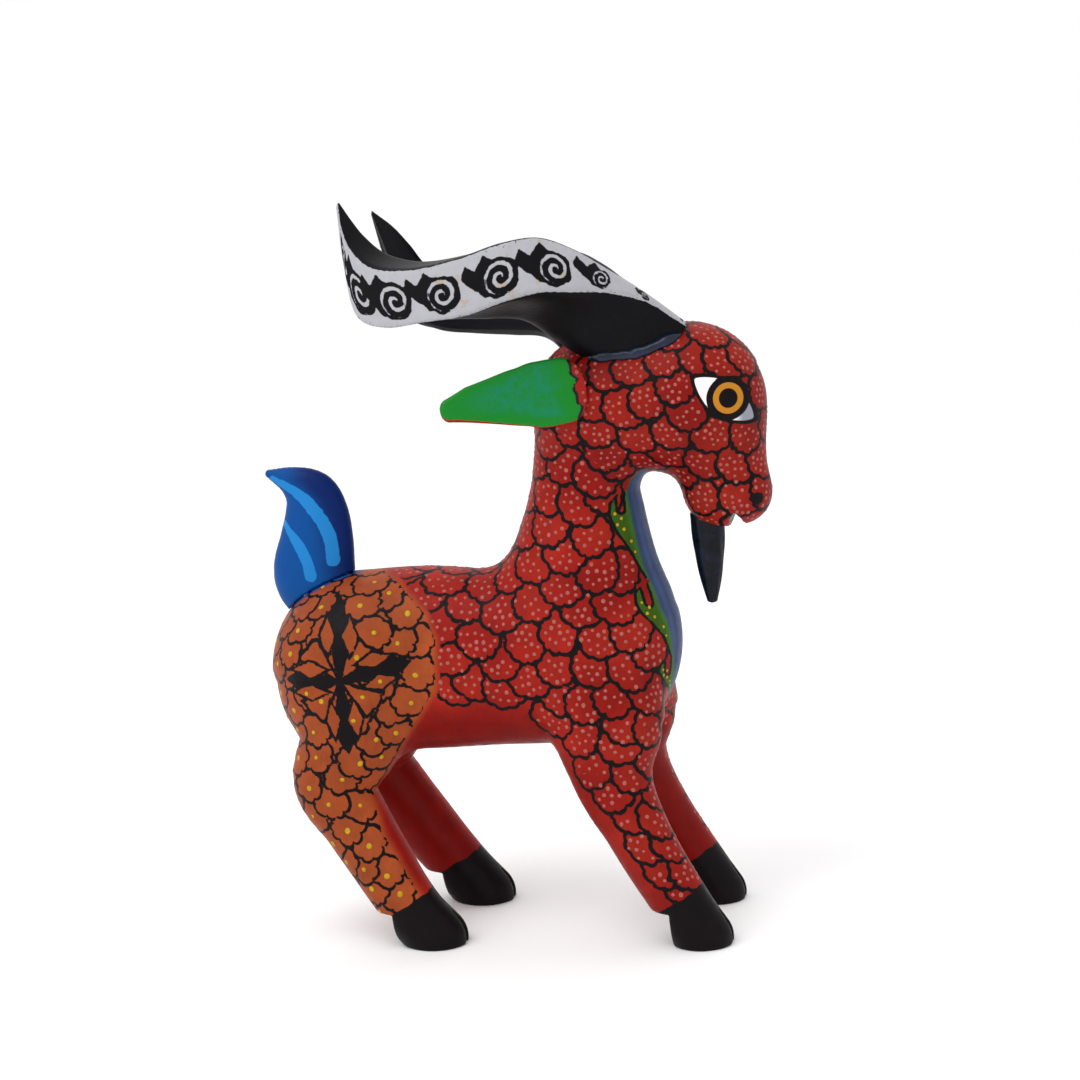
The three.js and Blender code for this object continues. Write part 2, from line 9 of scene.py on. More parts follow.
import bmesh
import bpy
import numpy as np
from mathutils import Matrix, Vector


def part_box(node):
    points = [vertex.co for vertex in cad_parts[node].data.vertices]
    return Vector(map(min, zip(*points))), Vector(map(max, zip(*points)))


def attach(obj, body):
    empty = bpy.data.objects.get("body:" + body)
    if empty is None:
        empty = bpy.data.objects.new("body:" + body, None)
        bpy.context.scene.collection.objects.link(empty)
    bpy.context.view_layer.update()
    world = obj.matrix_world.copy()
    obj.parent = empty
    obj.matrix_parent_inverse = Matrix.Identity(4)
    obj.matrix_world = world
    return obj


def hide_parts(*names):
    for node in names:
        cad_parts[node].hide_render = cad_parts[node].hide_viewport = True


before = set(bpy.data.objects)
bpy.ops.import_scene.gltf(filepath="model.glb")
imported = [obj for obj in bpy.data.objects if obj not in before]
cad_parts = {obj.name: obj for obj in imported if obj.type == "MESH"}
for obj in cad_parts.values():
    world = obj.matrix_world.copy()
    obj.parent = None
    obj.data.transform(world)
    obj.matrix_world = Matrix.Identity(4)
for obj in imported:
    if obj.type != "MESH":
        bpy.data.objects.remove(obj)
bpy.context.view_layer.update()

bl_info = {
    "name": "Painted wooden goat",
    "version": (1, 0, 0),
    "blender": (4, 5, 0),
    "location": "View3D > Sidebar > Goat",
    "description": "Carves and paints a wooden goat around its packed frame",
    "category": "Object",
}

MM = 0.001

# ---- the carved forms: each row is x, y, z, radius seen from the side, half-width across ---------

BEARD_X = 56.8
SOLE_Z = 1.4
STANCE = 24.0
STEP_Z = 13.2
SEAM_Z = 60.0
NAPE = (0.0, 0.0, 182.0)
THROAT = (38.0, 0.0, 149.5)

TRUNK = [
    (-64, 0, 94, 31, 23),
    (-40, 0, 94.5, 31.3, 24),
    (-14, 0, 93.8, 29.6, 23.5),
    (14, 0, 94, 29.5, 24),
]
NECK = [
    (14.4, 0, 108, 28.2, 21),
    (14.5, 0, 124, 24.5, 19.5),
    (15.8, 0, 138, 20.6, 17.5),
    (17, 0, 152, 18, 16.5),
    (20, 0, 166, 18.4, 17),
    (25, 0, 178, 22, 18.5),
]
SKULL = [
    (25, 0, 178, 22, 18.5),
    (37, 0, 179, 22.4, 19.5),
    (46, 0, 179.3, 22.9, 19.8),
    (53.4, 0, 178.8, 23.4, 18.6),
]
FACE = [
    (53.4, 0, 178.8, 23.4, 18.6),
    (59.5, 0, 167, 17.8, 15),
    (62.8, 0, 156, 14.6, 12),
    (64, 0, 150, 13, 10.5),
]
LIPS = [(58.8, 0, 146.6, 7.4, 8.4), (69.6, 0, 146.6, 7.6, 7.8)]
TAIL = [
    (-77, 0, 117, 12, 7.6),
    (-79.3, 0, 124, 14.4, 7.4),
    (-77.6, 0, 135, 12.9, 6.8),
    (-76.6, 0, 144, 11.2, 6),
    (-77.6, 0, 150.6, 9.4, 5),
    (-83.5, 0, 156, 5.4, 3.6),
    (-92.2, 0, 159.4, 1.5, 1.5),
]
FRONT_LEG = [
    (21, -13.5, 75, 19.5, 13.5),
    (21.5, -15.5, 61, 14.4, 11.5),
    (24, -17.5, 51.5, 12.4, 10.4),
    (29.5, -19.5, 40.3, 10.7, 9.6),
    (35.3, -21.5, 29.6, 10.1, 9.2),
    (42, -23.2, 18.6, 9.7, 8.8),
    (46, -STANCE, 12, 9.6, 8.8),
    (50.8, -STANCE, 3.5, 10.1, 9.4),
]
HIND_LEG = [
    (-64, -10, 91, 28.5, 19.5),
    (-66, -16, 72, 17.5, 14),
    (-73.2, -17.5, 56, 13.9, 11.4),
    (-66, -19.5, 42.5, 11.9, 10),
    (-59, -21.2, 31, 11.1, 9.6),
    (-51.5, -23, 18.8, 10.3, 9.2),
    (-46, -STANCE, 11, 10.2, 9),
    (-39.6, -STANCE, 3.5, 10.4, 9.6),
]
# name: rows, side of the goat (1 is its right), how far forward the lower end drifts, back edge of the hoof
LEGS = {
    "front_leg_right": (FRONT_LEG, 1, 0.0, 41.0),
    "front_leg_left": (FRONT_LEG, -1, -2.5, 41.0),
    "hind_leg_right": (HIND_LEG, 1, 0.0, -53.0),
    "hind_leg_left": (HIND_LEG, -1, 5.5, -53.0),
}
EAR_ROOT = (22.5, -19.2, 188)
EAR_TIP = (-19.5, -31.5, 182)
EAR_SHAPE = [(0, 8.6), (0.1, 11.8), (0.25, 12), (0.48, 9.8), (0.7, 7), (0.9, 4.6), (1, 3.6)]

# The right horn's five long edges, from its brow end to its tip.
HORN_TOP = [
    (55, -9, 205), (44, -14, 215), (32, -21.5, 225), (23.5, -26.5, 231.5), (13.5, -31, 236), (2, -34.5, 235),
    (-10.5, -36.5, 231.5), (-27, -36, 228.5), (-41.5, -32, 229.5), (-49, -27.5, 235), (-52.5, -24, 241.5),
    (-54, -20.5, 250),
]
HORN_LOW = [
    (55.5, -10, 203.5), (44.5, -17, 213), (31.5, -27.5, 218), (24.5, -32, 218.5), (14.5, -36.5, 219),
    (3.5, -39, 216.5), (-9.5, -40, 212.5), (-23, -39.5, 211), (-37.5, -36, 209.5), (-47.5, -31, 212.5),
    (-52, -26.5, 229.5), (-54.5, -21, 248.5),
]
HORN_RIM = [
    (53.5, -10.5, 200), (44, -13.5, 195.5), (30, -15, 194.5), (22.5, -15, 195), (13, -15, 201), (4, -18, 208),
    (-9, -24.5, 210), (-23.5, -29, 211), (-36, -28.5, 210.5), (-45, -26, 214.5), (-50, -24, 230.5),
    (-54, -20.5, 248.2),
]
HORN_FOOT = [
    (53, -5, 199.5), (43, -4, 195), (29, -4, 194), (22, -4.5, 195), (14, -6, 201), (5, -12.5, 211),
    (-8.5, -20, 213.5), (-23, -25.5, 213.5), (-35.5, -25.5, 213), (-44, -23.5, 216.5), (-49, -22, 231.5),
    (-53.8, -20, 248.5),
]
HORN_INNER = [
    (53.5, -5, 204), (42.5, -5.5, 214), (29, -9.5, 224), (21.5, -14.5, 229.5), (12, -19.5, 234),
    (1.5, -24, 234.5), (-11, -26, 231.5), (-26.5, -24.5, 230.5), (-38.5, -21.5, 234), (-45.5, -19.5, 239.5),
    (-50, -18.5, 244.5), (-53.5, -19.8, 249.8),
]
LEFT_SHIFT = np.array([-0.6, 0, -5.2])
LEFT_SAG = [0, 2, 3.5, 4, 4, 4.5, 5.5, 5.5, 3, 1, 0, 0]
LEFT_BREADTH = [0, 0, 0, 0, 0, 0, 0, 1, 2.5, 5, 4.5, 0]


def frame_offset():
    """How far the rows above lie from the part's own frame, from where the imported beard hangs."""
    low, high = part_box("beard")
    return np.array([(low.x + high.x) / 2 / MM - BEARD_X, (low.y + high.y) / 2 / MM, -SOLE_Z])


OFFSET = frame_offset()


# ---- settings ------------------------------------------------------------------------------------


def linear(colour):
    """A hex colour such as "#c0281e", or its three sRGB parts, as linear light."""
    if isinstance(colour, str):
        colour = [int(colour[i : i + 2], 16) / 255 for i in (1, 3, 5)]
    parts = [c / 12.92 if c <= 0.04045 else ((c + 0.055) / 1.055) ** 2.4 for c in colour]
    return np.array(parts)


def rgba(colour):
    return (*[float(c) for c in linear(colour)], 1.0)


def paint_property(name, colour, description):
    return bpy.props.FloatVectorProperty(
        name=name,
        description=description,
        default=tuple(float(c) for c in linear(colour)),
        min=0.0,
        max=1.0,
        size=3,
        subtype="COLOR",
    )


def length_property(name, millimetres, description):
    return bpy.props.FloatProperty(
        name=name, description=description, default=millimetres * MM, min=0.0, unit="LENGTH", precision=5
    )


def angle_property(name, degrees, description):
    return bpy.props.FloatProperty(
        name=name, description=description, default=math.radians(degrees), subtype="ANGLE"
    )


class GoatCoat(bpy.types.PropertyGroup):
    """The painted skin of the figure."""

    grain: length_property("Carving step", 0.6, "Width of the faces that the skin is carved in")
    scale_gap: length_property("Scale spacing", 12.5, "Distance between the scales of the neck and flank")
    head_gap: length_property("Head scale spacing", 11.4, "Distance between the scales of the head")
    petal_gap: length_property("Petal spacing", 10.2, "Distance between the petals of the haunch")
    line: length_property("Line width", 1.25, "Width of the black brush lines")
    red: paint_property("Red", "#92130b", "Coat of the neck, flank and head")
    # Partly painted shade: the unpatterned belly and leg insides are given a darker red for the shade beneath
    # the body.
    underside_shade_red: paint_property("Plain red", "#760802", "Belly and the insides of the legs")
    orange: paint_property("Orange", "#96441f", "Haunch and the outsides of the hind legs")
    blue: paint_property("Chest blue", "#36456a", "Band down the chest")
    green: paint_property("Chest green", "#1f450c", "Leaf scroll beside the chest band")
    seed: bpy.props.IntProperty(name="Hand", description="Changes where each scale falls", default=7)


class GoatDots(bpy.types.PropertyGroup):
    """The dots of paint on the scales and the petals."""

    radius: length_property("Dot radius", 0.68, "Radius of a dot on the neck and flank")
    head_radius: length_property("Head dot radius", 0.58, "Radius of a dot on the head")
    petal_radius: length_property("Petal dot radius", 0.92, "Radius of the dot in each petal")
    spacing: length_property("Dot spacing", 2.2, "Least distance between dots on the neck and flank")
    head_spacing: length_property("Head dot spacing", 1.85, "Least distance between dots on the head")
    height: length_property("Dot height", 0.13, "How far a dot stands off the skin")
    pink: paint_property("Pink", "#a65a52", "Dots on the scales")
    yellow: paint_property("Yellow", "#b8921c", "Dots on the petals and the leaf scroll")


class GoatHorns(bpy.types.PropertyGroup):
    """The two plug-in horns."""

    bead: length_property("Root bead", 1.85, "Radius of the bead round a horn's root")
    white: paint_property("Worn white", "#b0b0b6", "Outer band of a horn")
    black: paint_property("Black", "#07070b", "Scrolls and the other faces of a horn")


class GoatEnds(bpy.types.PropertyGroup):
    """The ears, the tail and the beard."""

    ear_green: paint_property("Ear green", "#067a1c", "Hollow side of an ear")
    tail_blue: paint_property("Tail blue", "#02478c", "The tail")
    tail_light: paint_property("Tail light", "#1f7cc0", "The two brush strokes on the tail")
    beard_black: paint_property("Beard black", "#050609", "The beard")


class GoatStudio(bpy.types.PropertyGroup):
    """Camera, floor and light."""

    distance: bpy.props.FloatProperty(
        name="Distance", description="From the camera to the goat", default=0.9, min=0.1, unit="LENGTH"
    )
    azimuth: angle_property("Azimuth", 13, "Turn of the camera towards the face")
    elevation: angle_property("Elevation", 10, "Height of the camera as an angle")
    roll: angle_property("Roll", 4.2, "Tilt of the camera")
    floor: paint_property("Floor", "#fcfcfc", "The pale studio floor")


# ---- distances -----------------------------------------------------------------------------------

FAR = 60.0
MARGIN = 19.0  # further from a limb than this, it has no say in the surface
BLEND = 7.0
SHOULDER_BLEND = 14.0
CORNERS = np.array([[n & 1, n >> 1 & 1, n >> 2 & 1] for n in range(8)])
EDGES = [(a, b) for a in range(8) for b in range(a + 1, 8) if a ^ b in (1, 2, 4)]
STEEPEST = 1.36  # the most a distance can change over a millimetre


def smooth_path(rows, steps):
    """A centripetal curve through the rows, as that many points from each row to the next."""
    rows = np.asarray(rows, float)
    padded = np.vstack([2 * rows[0] - rows[1], rows, 2 * rows[-1] - rows[-2]])
    out = []
    for i in range(len(rows) - 1):
        p0, p1, p2, p3 = padded[i : i + 4]
        d0, d1, d2 = (max(float(np.sum((b - a) ** 2)) ** 0.25, 0) for a, b in ((p0, p1), (p1, p2), (p2, p3)))
        d1 = d1 if d1 > 1e-4 else 1.0
        d0 = d0 if d0 > 1e-4 else d1
        d2 = d2 if d2 > 1e-4 else d1
        m1 = ((p1 - p0) / d0 - (p2 - p0) / (d0 + d1) + (p2 - p1) / d1) * d1
        m2 = ((p2 - p1) / d1 - (p3 - p1) / (d1 + d2) + (p3 - p2) / d2) * d1
        t = (np.arange(steps) / steps)[:, None]
        out.append(p1 + m1 * t + (3 * (p2 - p1) - 2 * m1 - m2) * t**2 + (2 * (p1 - p2) + m1 + m2) * t**3)
    return np.vstack([*out, rows[-1:]])


def limb(rows, steps=5):
    """Distance to a smooth limb, as a function of an array of points."""
    rows = np.asarray(rows, float)
    centre = smooth_path(rows[:, :3] + OFFSET, steps)
    girth = smooth_path(rows[:, 3:], steps)
    low = (centre - girth.max(1)[:, None]).min(0) - MARGIN
    high = (centre + girth.max(1)[:, None]).max(0) + MARGIN

    def distance(points):
        out = np.full(len(points), FAR)
        near = np.flatnonzero(((points > low) & (points < high)).all(1))
        if not len(near):
            return out
        x, y, z = points[near].T
        best = np.full(len(near), FAR)
        for a, b, ga, gb in zip(centre[:-1], centre[1:], girth[:-1], girth[1:]):
            u = b - a
            t = np.clip(((x - a[0]) * u[0] + (y - a[1]) * u[1] + (z - a[2]) * u[2]) / (u @ u), 0, 1)
            r = ga[0] + (gb[0] - ga[0]) * t
            w = ga[1] + (gb[1] - ga[1]) * t
            dx = x - a[0] - u[0] * t
            dy = (y - a[1] - u[1] * t) * (r / w)
            dz = z - a[2] - u[2] * t
            np.minimum(best, np.sqrt(dx * dx + dy * dy + dz * dz) - r, out=best)
        out[near] = best
        return out

    return distance


def melt(a, b, blend=BLEND):
    near = np.maximum(blend - np.abs(a - b), 0) / blend
    return np.minimum(a, b) - near * near * blend / 4


def carve_away(a, cut, blend=0.9):
    """What is left of a form after a cut, its new edges a little worn."""
    return -melt(-a, cut, blend)


def leg_rows(rows, side, drift):
    top = rows[0][2]
    return [(x + drift * min(1, 1.25 * (1 - z / top)), y * side, z, r, w) for x, y, z, r, w in rows]


def figure_distance():
    trunk, neck = limb(TRUNK), limb(NECK)
    parts = [limb(SKULL), limb(FACE), limb(LIPS)]
    parts += [limb(leg_rows(rows, side, drift)) for rows, side, drift, _ in LEGS.values()]

    def distance(points):
        form = melt(trunk(points), neck(points), SHOULDER_BLEND)
        for part in parts:
            form = melt(form, part(points))
        return form

    return distance


solid_figure = figure_distance()
tail_distance = limb(TAIL)
TAIL_AXIS = np.array([TAIL[0][0] - TRUNK[0][0], 0, TAIL[0][2] - TRUNK[0][2]], float)
TAIL_AXIS /= np.linalg.norm(TAIL_AXIS)


PEG_X = 30.0
PEG_OUT = {-1: 10.6, 1: 12.2}  # how far each horn's peg stands from the midline
HORN_HOLE = 3.4
HORN_HOLE_FLOOR = 186.2
TAIL_HOLE_PLACE = (-79.2, 117.5)
TAIL_HOLE = 3.8
TAIL_HOLE_HALF = 13.3
MOUTH_X = 67.05


def sockets(points):
    """Distance to the round holes that take the horns' pegs and the tail's."""
    x, y, z = (points - OFFSET).T
    out = np.where(y < 0, PEG_OUT[-1], PEG_OUT[1])
    horn = np.maximum(np.hypot(x - PEG_X, np.abs(y) - out) - HORN_HOLE, HORN_HOLE_FLOOR - z)
    tail_x, tail_z = x - TAIL_HOLE_PLACE[0], z - TAIL_HOLE_PLACE[1]
    along = tail_x * TAIL_AXIS[0] + tail_z * TAIL_AXIS[2]
    aside = np.hypot(tail_x * TAIL_AXIS[2] - tail_z * TAIL_AXIS[0], y)
    tail = np.maximum(aside - TAIL_HOLE, np.abs(along) - TAIL_HOLE_HALF)
    return np.minimum(horn, tail)


def cut_figure(points):
    """Distance to the whole figure with its mouth, cloven hooves, flat soles and peg holes."""
    form = solid_figure(points)
    x, y, z = (points - OFFSET).T
    mouth = np.abs(x - MOUTH_X) - np.interp(z, [136, 139.6, 142, 143], [2.7, 1.7, 0, -1])
    head_low = z > 130
    form = np.where(head_low, carve_away(form, np.where(head_low, mouth, FAR)), form)
    low = z < STEP_Z + 6
    for rows, side, drift, heel in LEGS.values():
        lateral = -STANCE * side
        back = heel + drift
        notch = np.maximum.reduce([x - back, back - 16 - x, z - STEP_Z, np.abs(y - lateral) - 16])
        toe = rows[-1][0] + drift + rows[-1][3] - 5
        width = np.minimum(0.27 * (x - toe), 1.3)
        cleft = np.maximum.reduce([np.abs(y - lateral) - width, z - 15, toe - x, x - toe - 9])
        form = np.where(low, carve_away(carve_away(form, notch), cleft, 0.5), form)
    form = carve_away(form, z - SOLE_Z, 0.8)
    return np.maximum(form, -sockets(points))


def slope(distance, points, probe=0.04):
    """Which way a distance grows, and how fast, at each point."""
    steps = []
    for k in range(3):
        aside = np.zeros(3)
        aside[k] = probe
        steps.append((distance(points + aside) - distance(points - aside)) / (2 * probe))
    return np.stack(steps, 1)


def unit(vectors):
    return vectors / np.maximum(np.linalg.norm(vectors, axis=-1, keepdims=True), 1e-9)


def onto(distance, points, level=0.0, limit=None, turns=2):
    """Points moved along the slope until the distance there is the level."""
    moved = points.copy()
    for _ in range(turns):
        g = slope(distance, moved)
        moved -= g * ((distance(moved) - level) / np.maximum((g * g).sum(1), 0.2))[:, None]
    if limit:
        shift = moved - points
        size = np.linalg.norm(shift, axis=1, keepdims=True)
        moved = points + shift * np.minimum(1, limit / np.maximum(size, 1e-9))
    return moved


def carve(distance, low, high, cell):
    """The closed surface where a distance is zero, as points and four-sided faces about a cell wide."""
    low = np.asarray(low, float)
    size = np.asarray(high, float) - low
    step = cell * 8
    count = np.ceil(size / step).astype(int)
    cubes = np.stack(np.meshgrid(*[np.arange(n) for n in count], indexing="ij"), -1).reshape(-1, 3)
    while True:
        centre = low + (cubes + 0.5) * step
        cubes = cubes[np.abs(distance(centre)) < step * 0.87 * STEEPEST + 0.25]
        if step < cell * 1.01:
            break
        cubes = (cubes[:, None, :] * 2 + CORNERS).reshape(-1, 3)
        step /= 2
    across = (size / cell).astype(int) + 12

    def key(cells):
        return (cells[..., 0] * across[1] + cells[..., 1]) * across[2] + cells[..., 2]

    unique, where = np.unique(key(cubes[:, None, :] + CORNERS), return_inverse=True)
    layer = across[1] * across[2]
    grid = np.stack([unique // layer, unique // across[2] % across[1], unique % across[2]], 1)
    value = distance(low + grid * cell)[where].reshape(-1, 8)
    crossed = (value < 0).any(1) & (value >= 0).any(1)
    cubes, value = cubes[crossed], value[crossed]
    total = np.zeros((len(cubes), 3))
    hits = np.zeros(len(cubes))
    for a, b in EDGES:
        cut = (value[:, a] < 0) != (value[:, b] < 0)
        t = value[cut, a] / (value[cut, a] - value[cut, b])
        total[cut] += CORNERS[a] + (CORNERS[b] - CORNERS[a]) * t[:, None]
        hits += cut
    points = onto(distance, low + (cubes + total / hits[:, None]) * cell, limit=cell / 2)

    keys = key(cubes)
    order = np.argsort(keys)
    faces = []
    for axis in range(3):
        turned = (value[:, 0] < 0) != (value[:, 1 << axis] < 0)
        inside = value[turned, 0] < 0
        u, v = np.eye(3, dtype=int)[(axis + 1) % 3], np.eye(3, dtype=int)[(axis + 2) % 3]
        base = cubes[turned]
        ring = [order[np.searchsorted(keys, key(base - s), sorter=order)] for s in (0 * u, u, u + v, v)]
        ring = np.stack(ring, 1)
        faces.append(np.where(inside[:, None], ring, ring[:, ::-1]))
    return points, np.vstack(faces)


# ---- meshes --------------------------------------------------------------------------------------


def mesh_of(name, points, faces):
    """A mesh in millimetres, from its points and an array of faces with equally many corners."""
    mesh = bpy.data.meshes.new(name)
    corners = faces.shape[1]
    mesh.vertices.add(len(points))
    mesh.vertices.foreach_set("co", np.ascontiguousarray(points, np.float32).ravel())
    mesh.loops.add(faces.size)
    mesh.loops.foreach_set("vertex_index", np.ascontiguousarray(faces, np.int32).ravel())
    mesh.polygons.add(len(faces))
    mesh.polygons.foreach_set("loop_start", np.arange(len(faces), dtype=np.int32) * corners)
    mesh.update(calc_edges=True)
    return mesh


def points_of(mesh):
    out = np.empty(len(mesh.vertices) * 3, np.float32)
    mesh.vertices.foreach_get("co", out)
    return out.reshape(-1, 3).astype(float)


def part_of(name, points, faces, keep, planes):
    """One piece of the carved form: the kept faces behind every plane, each cut closed with a flat cap."""
    for point, normal in planes:
        keep = keep & ((points - point) @ normal < 3)
    faces = faces[keep[faces].all(1)]
    used = np.unique(faces)
    mesh = mesh_of(name, points[used], np.searchsorted(used, faces))
    bm = bmesh.new()
    bm.from_mesh(mesh)
    for point, normal in planes:
        geometry = bm.verts[:] + bm.edges[:] + bm.faces[:]
        bmesh.ops.bisect_plane(
            bm, geom=geometry, dist=1e-4, plane_co=point, plane_no=normal, clear_outer=True
        )
    rims = [e for e in bm.edges if e.is_boundary]
    made = bmesh.ops.holes_fill(bm, edges=rims, sides=0)["faces"]
    for edge in rims:
        edge.smooth = False
    bmesh.ops.triangulate(bm, faces=made)
    bmesh.ops.recalc_face_normals(bm, faces=bm.faces[:])
    if not all(e.is_manifold for e in bm.edges):
        raise RuntimeError(name + " isn't closed")
    bm.to_mesh(mesh)
    bm.free()
    return mesh


def write_floats(mesh, name, values):
    made = mesh.attributes.new(name, "FLOAT", "POINT")
    made.data.foreach_set("value", np.ascontiguousarray(values, np.float32))


def write_colours(mesh, name, values):
    full = np.ones((len(values), 4), np.float32)
    full[:, :3] = values
    mesh.attributes.new(name, "FLOAT_COLOR", "POINT").data.foreach_set("color", full.ravel())


def write_paint(mesh, coat):
    for name, values in coat.items():
        if values.ndim == 2:
            write_colours(mesh, name, values)
        else:
            write_floats(mesh, name, values)


def enter(name, mesh, body):
    """Puts a mesh in metres into the scene as a piece that rides on a body."""
    obj = bpy.data.objects.new(name, mesh)
    bpy.context.scene.collection.objects.link(obj)
    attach(obj, body)
    return obj


def piece(name, mesh, body, material, nodes=()):
    """Puts a mesh in millimetres into the scene, as a piece that may stand for its CAD nodes."""
    co = points_of(mesh) * MM
    mesh.vertices.foreach_set("co", co.astype(np.float32).ravel())
    mesh.update()
    mesh.materials.clear()
    mesh.materials.append(material)
    obj = enter(name, mesh, body)
    if nodes:
        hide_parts(*nodes)
    return obj


def smooth_faces(mesh):
    mesh.polygons.foreach_set("use_smooth", np.ones(len(mesh.polygons), bool))


def grid_mesh(name, rings):
    """A closed skin over rings of equally many points, fanned over at both ends."""
    count, around = rings.shape[:2]
    points = np.vstack([rings.reshape(-1, 3), rings[0].mean(0), rings[-1].mean(0)])
    i = np.arange(around)
    j = (i + 1) % around
    faces = []
    for row in range(count - 1):
        a, b = row * around + i, row * around + j
        faces += [np.stack([a, b, b + around], 1), np.stack([a, b + around, a + around], 1)]
    first = np.full(around, count * around)
    last = (count - 1) * around
    faces += [np.stack([first, j, i], 1), np.stack([first + 1, last + i, last + j], 1)]
    return mesh_of(name, points, np.vstack(faces))


# ---- painting by hand ----------------------------------------------------------------------------

SIDE_TURN = math.radians(13)  # the side of the goat was painted as seen from a little in front
CLEAR = 9.0  # further than this from a mark, in millimetres


def hand_wobble(points, size, amount, hand):
    """A slow drift of the brush: a smooth random shift of each point, the same for the same hand."""
    rng = np.random.default_rng(hand)
    shift = np.zeros_like(points)
    for _ in range(5):
        direction = unit(rng.normal(size=3)) * (2 * math.pi / size) * rng.uniform(0.6, 1.5)
        shift += np.sin(points @ direction + rng.uniform(0, 6.3))[:, None] * unit(rng.normal(size=3))
    return points + shift * (amount / 2.2)


def inside_outline(u, w, outline):
    """Signed distance into a closed outline of (u, w) corners, positive inside."""
    outline = np.asarray(outline, float)
    nearest = np.full(len(u), 1e9)
    crossings = np.zeros(len(u), int)
    for (au, aw), (bu, bw) in zip(outline, np.roll(outline, -1, 0)):
        du, dw = bu - au, bw - aw
        t = np.clip(((u - au) * du + (w - aw) * dw) / (du * du + dw * dw), 0, 1)
        nearest = np.minimum(nearest, np.hypot(u - au - du * t, w - aw - dw * t))
        spans = (aw > w) != (bw > w)
        at = au + (w - aw) * du / (dw if abs(dw) > 1e-9 else 1e-9)
        crossings += spans & (u < at)
    return np.where(crossings % 2 == 1, nearest, -nearest)


def ramp(value, start, end):
    t = np.clip((value - start) / (end - start), 0, 1)
    return t * t * (3 - 2 * t)


def spread(points, spacing, rng):
    """Which of the points lie about a spacing apart and fill the surface evenly but not in rows."""
    order = rng.permutation(len(points))[:9000]
    pool = points[order]
    chosen = [0]
    gap = np.linalg.norm(pool - pool[0], axis=1)
    while gap.max() > spacing * 0.74:
        chosen.append(int(gap.argmax()))
        gap = np.minimum(gap, np.linalg.norm(pool - pool[chosen[-1]], axis=1))
    centres = pool[chosen]
    for _ in range(5):
        nearest = ((pool[:, None, :] - centres[None]) ** 2).sum(2).argmin(1)
        for k in range(len(centres)):
            if (nearest == k).any():
                centres[k] = pool[nearest == k].mean(0)
    found = ((pool[:, None, :] - centres[None]) ** 2).sum(2).argmin(0)
    return order[np.unique(found)]


class Cells:
    """Scales or petals, each a scalloped outline about a centre, those nearer the flow's source on top."""

    def __init__(self, points, normals, spacing, flow, lobes, depth, reach, rng):
        chosen = spread(points, spacing, rng)
        self.centres = points[chosen]
        self.normals = normals[chosen]
        flow = unit(np.asarray(flow, float))
        along = flow - (self.normals @ flow)[:, None] * self.normals
        lean = rng.normal(0, 0.22, (len(chosen), 1))
        along = unit(along + 1e-6)
        across = np.cross(self.normals, along)
        self.along = unit(along + across * lean)
        self.across = np.cross(self.normals, self.along)
        self.radius = spacing * reach * rng.uniform(0.94, 1.07, len(chosen))
        self.lobes = rng.integers(lobes[0], lobes[1] + 1, len(chosen))
        self.phase = rng.uniform(0, 6.3, len(chosen))
        self.depth = depth
        self.order = np.argsort(-(self.centres @ flow) + rng.normal(0, spacing * 0.12, len(chosen)))

    def paint(self, points, normals, line, covered, allowed):
        """Lays each outline over what is there: its inside hides older lines, and its edge is a new line."""
        for k in self.order:
            centre, normal = self.centres[k], self.normals[k]
            near = np.flatnonzero((np.abs(points - centre) < self.radius[k] * 1.5).all(1))
            near = near[(normals[near] @ normal > 0.1) & allowed[near]]
            if not len(near):
                continue
            v = points[near] - centre
            r = np.linalg.norm(v, axis=1)
            angle = np.arctan2(v @ self.across[k], v @ self.along[k])
            count = self.lobes[k]
            drift = 0.55 * np.sin(2 * angle + self.phase[k]) + 0.5 * np.sin(3 * angle + 2 * self.phase[k])
            bumps = np.abs(np.sin(count * angle / 2 + self.phase[k] + drift))
            free = 0.45 + 0.55 * ramp(np.cos(angle), -0.75, -0.1)
            outline = self.radius[k] * (1 + 0.05 * np.sin(2 * angle + self.phase[k]))
            outline += self.depth * free * (np.sqrt(bumps + 0.02) - 0.75)
            inside = outline - r
            line[near] = np.where(inside > 0, inside, np.minimum(line[near], -inside))
            covered[near] |= inside > 0
        return line, covered


HAUNCH = [
    (-120, 145), (-46, 145), (-44.3, 124), (-39.3, 121.3), (-31, 112), (-28.4, 104.1), (-29.7, 87.3),
    (-41, 70), (-53.5, 50.9), (-51.1, 39.4), (-40.1, 18.4), (-26, 0), (-120, 0),
]
SCALED = [
    (-47, 145), (-45, 128), (-38, 122), (-29, 108), (-30, 90), (-27, 82.5), (-15, 83.5), (2, 84), (5, 78),
    (15.5, 60), (27, 44), (36, 27), (40, 20), (70, 20), (90, 60), (100, 145),
]
STAR_CENTRE = (-61.8, 92.3)
STAR_TIPS = [(-60.4, 119.4), (-37.2, 97.2), (-60.5, 66.9), (-80.6, 91.8)]
STAR_HALF = ([0, 0.1, 0.27, 0.5, 0.74, 0.84, 1.0], [0.35, 1.0, 2.0, 3.2, 3.1, 2.2, 0.0])
LOZENGE = (5.7, 2.4)  # half its length and half its width
WEDGE_LENGTH = 14.5
WEDGE_ANGLE = math.radians(19)


def painter_plane(points):
    return points[:, 0] * math.cos(SIDE_TURN) - np.abs(points[:, 1]) * math.sin(SIDE_TURN), points[:, 2]


def diamond(a, b, length, half):
    return (np.abs(a) / length + np.abs(b) / half - 1) * length * half / math.hypot(length, half)


def measured_from(u, w, origin, direction):
    """How far each point lies along a direction from an origin, and how far to one side of it."""
    du, dw = u - origin[0], w - origin[1]
    return du * direction[0] + dw * direction[1], dw * direction[0] - du * direction[1]


def star_arms():
    """The direction and the length of each arm of the star."""
    reaches = [np.subtract(tip, STAR_CENTRE) for tip in STAR_TIPS]
    lengths = [float(np.hypot(*reach)) for reach in reaches]
    return [(reach / length, length) for reach, length in zip(reaches, lengths)]


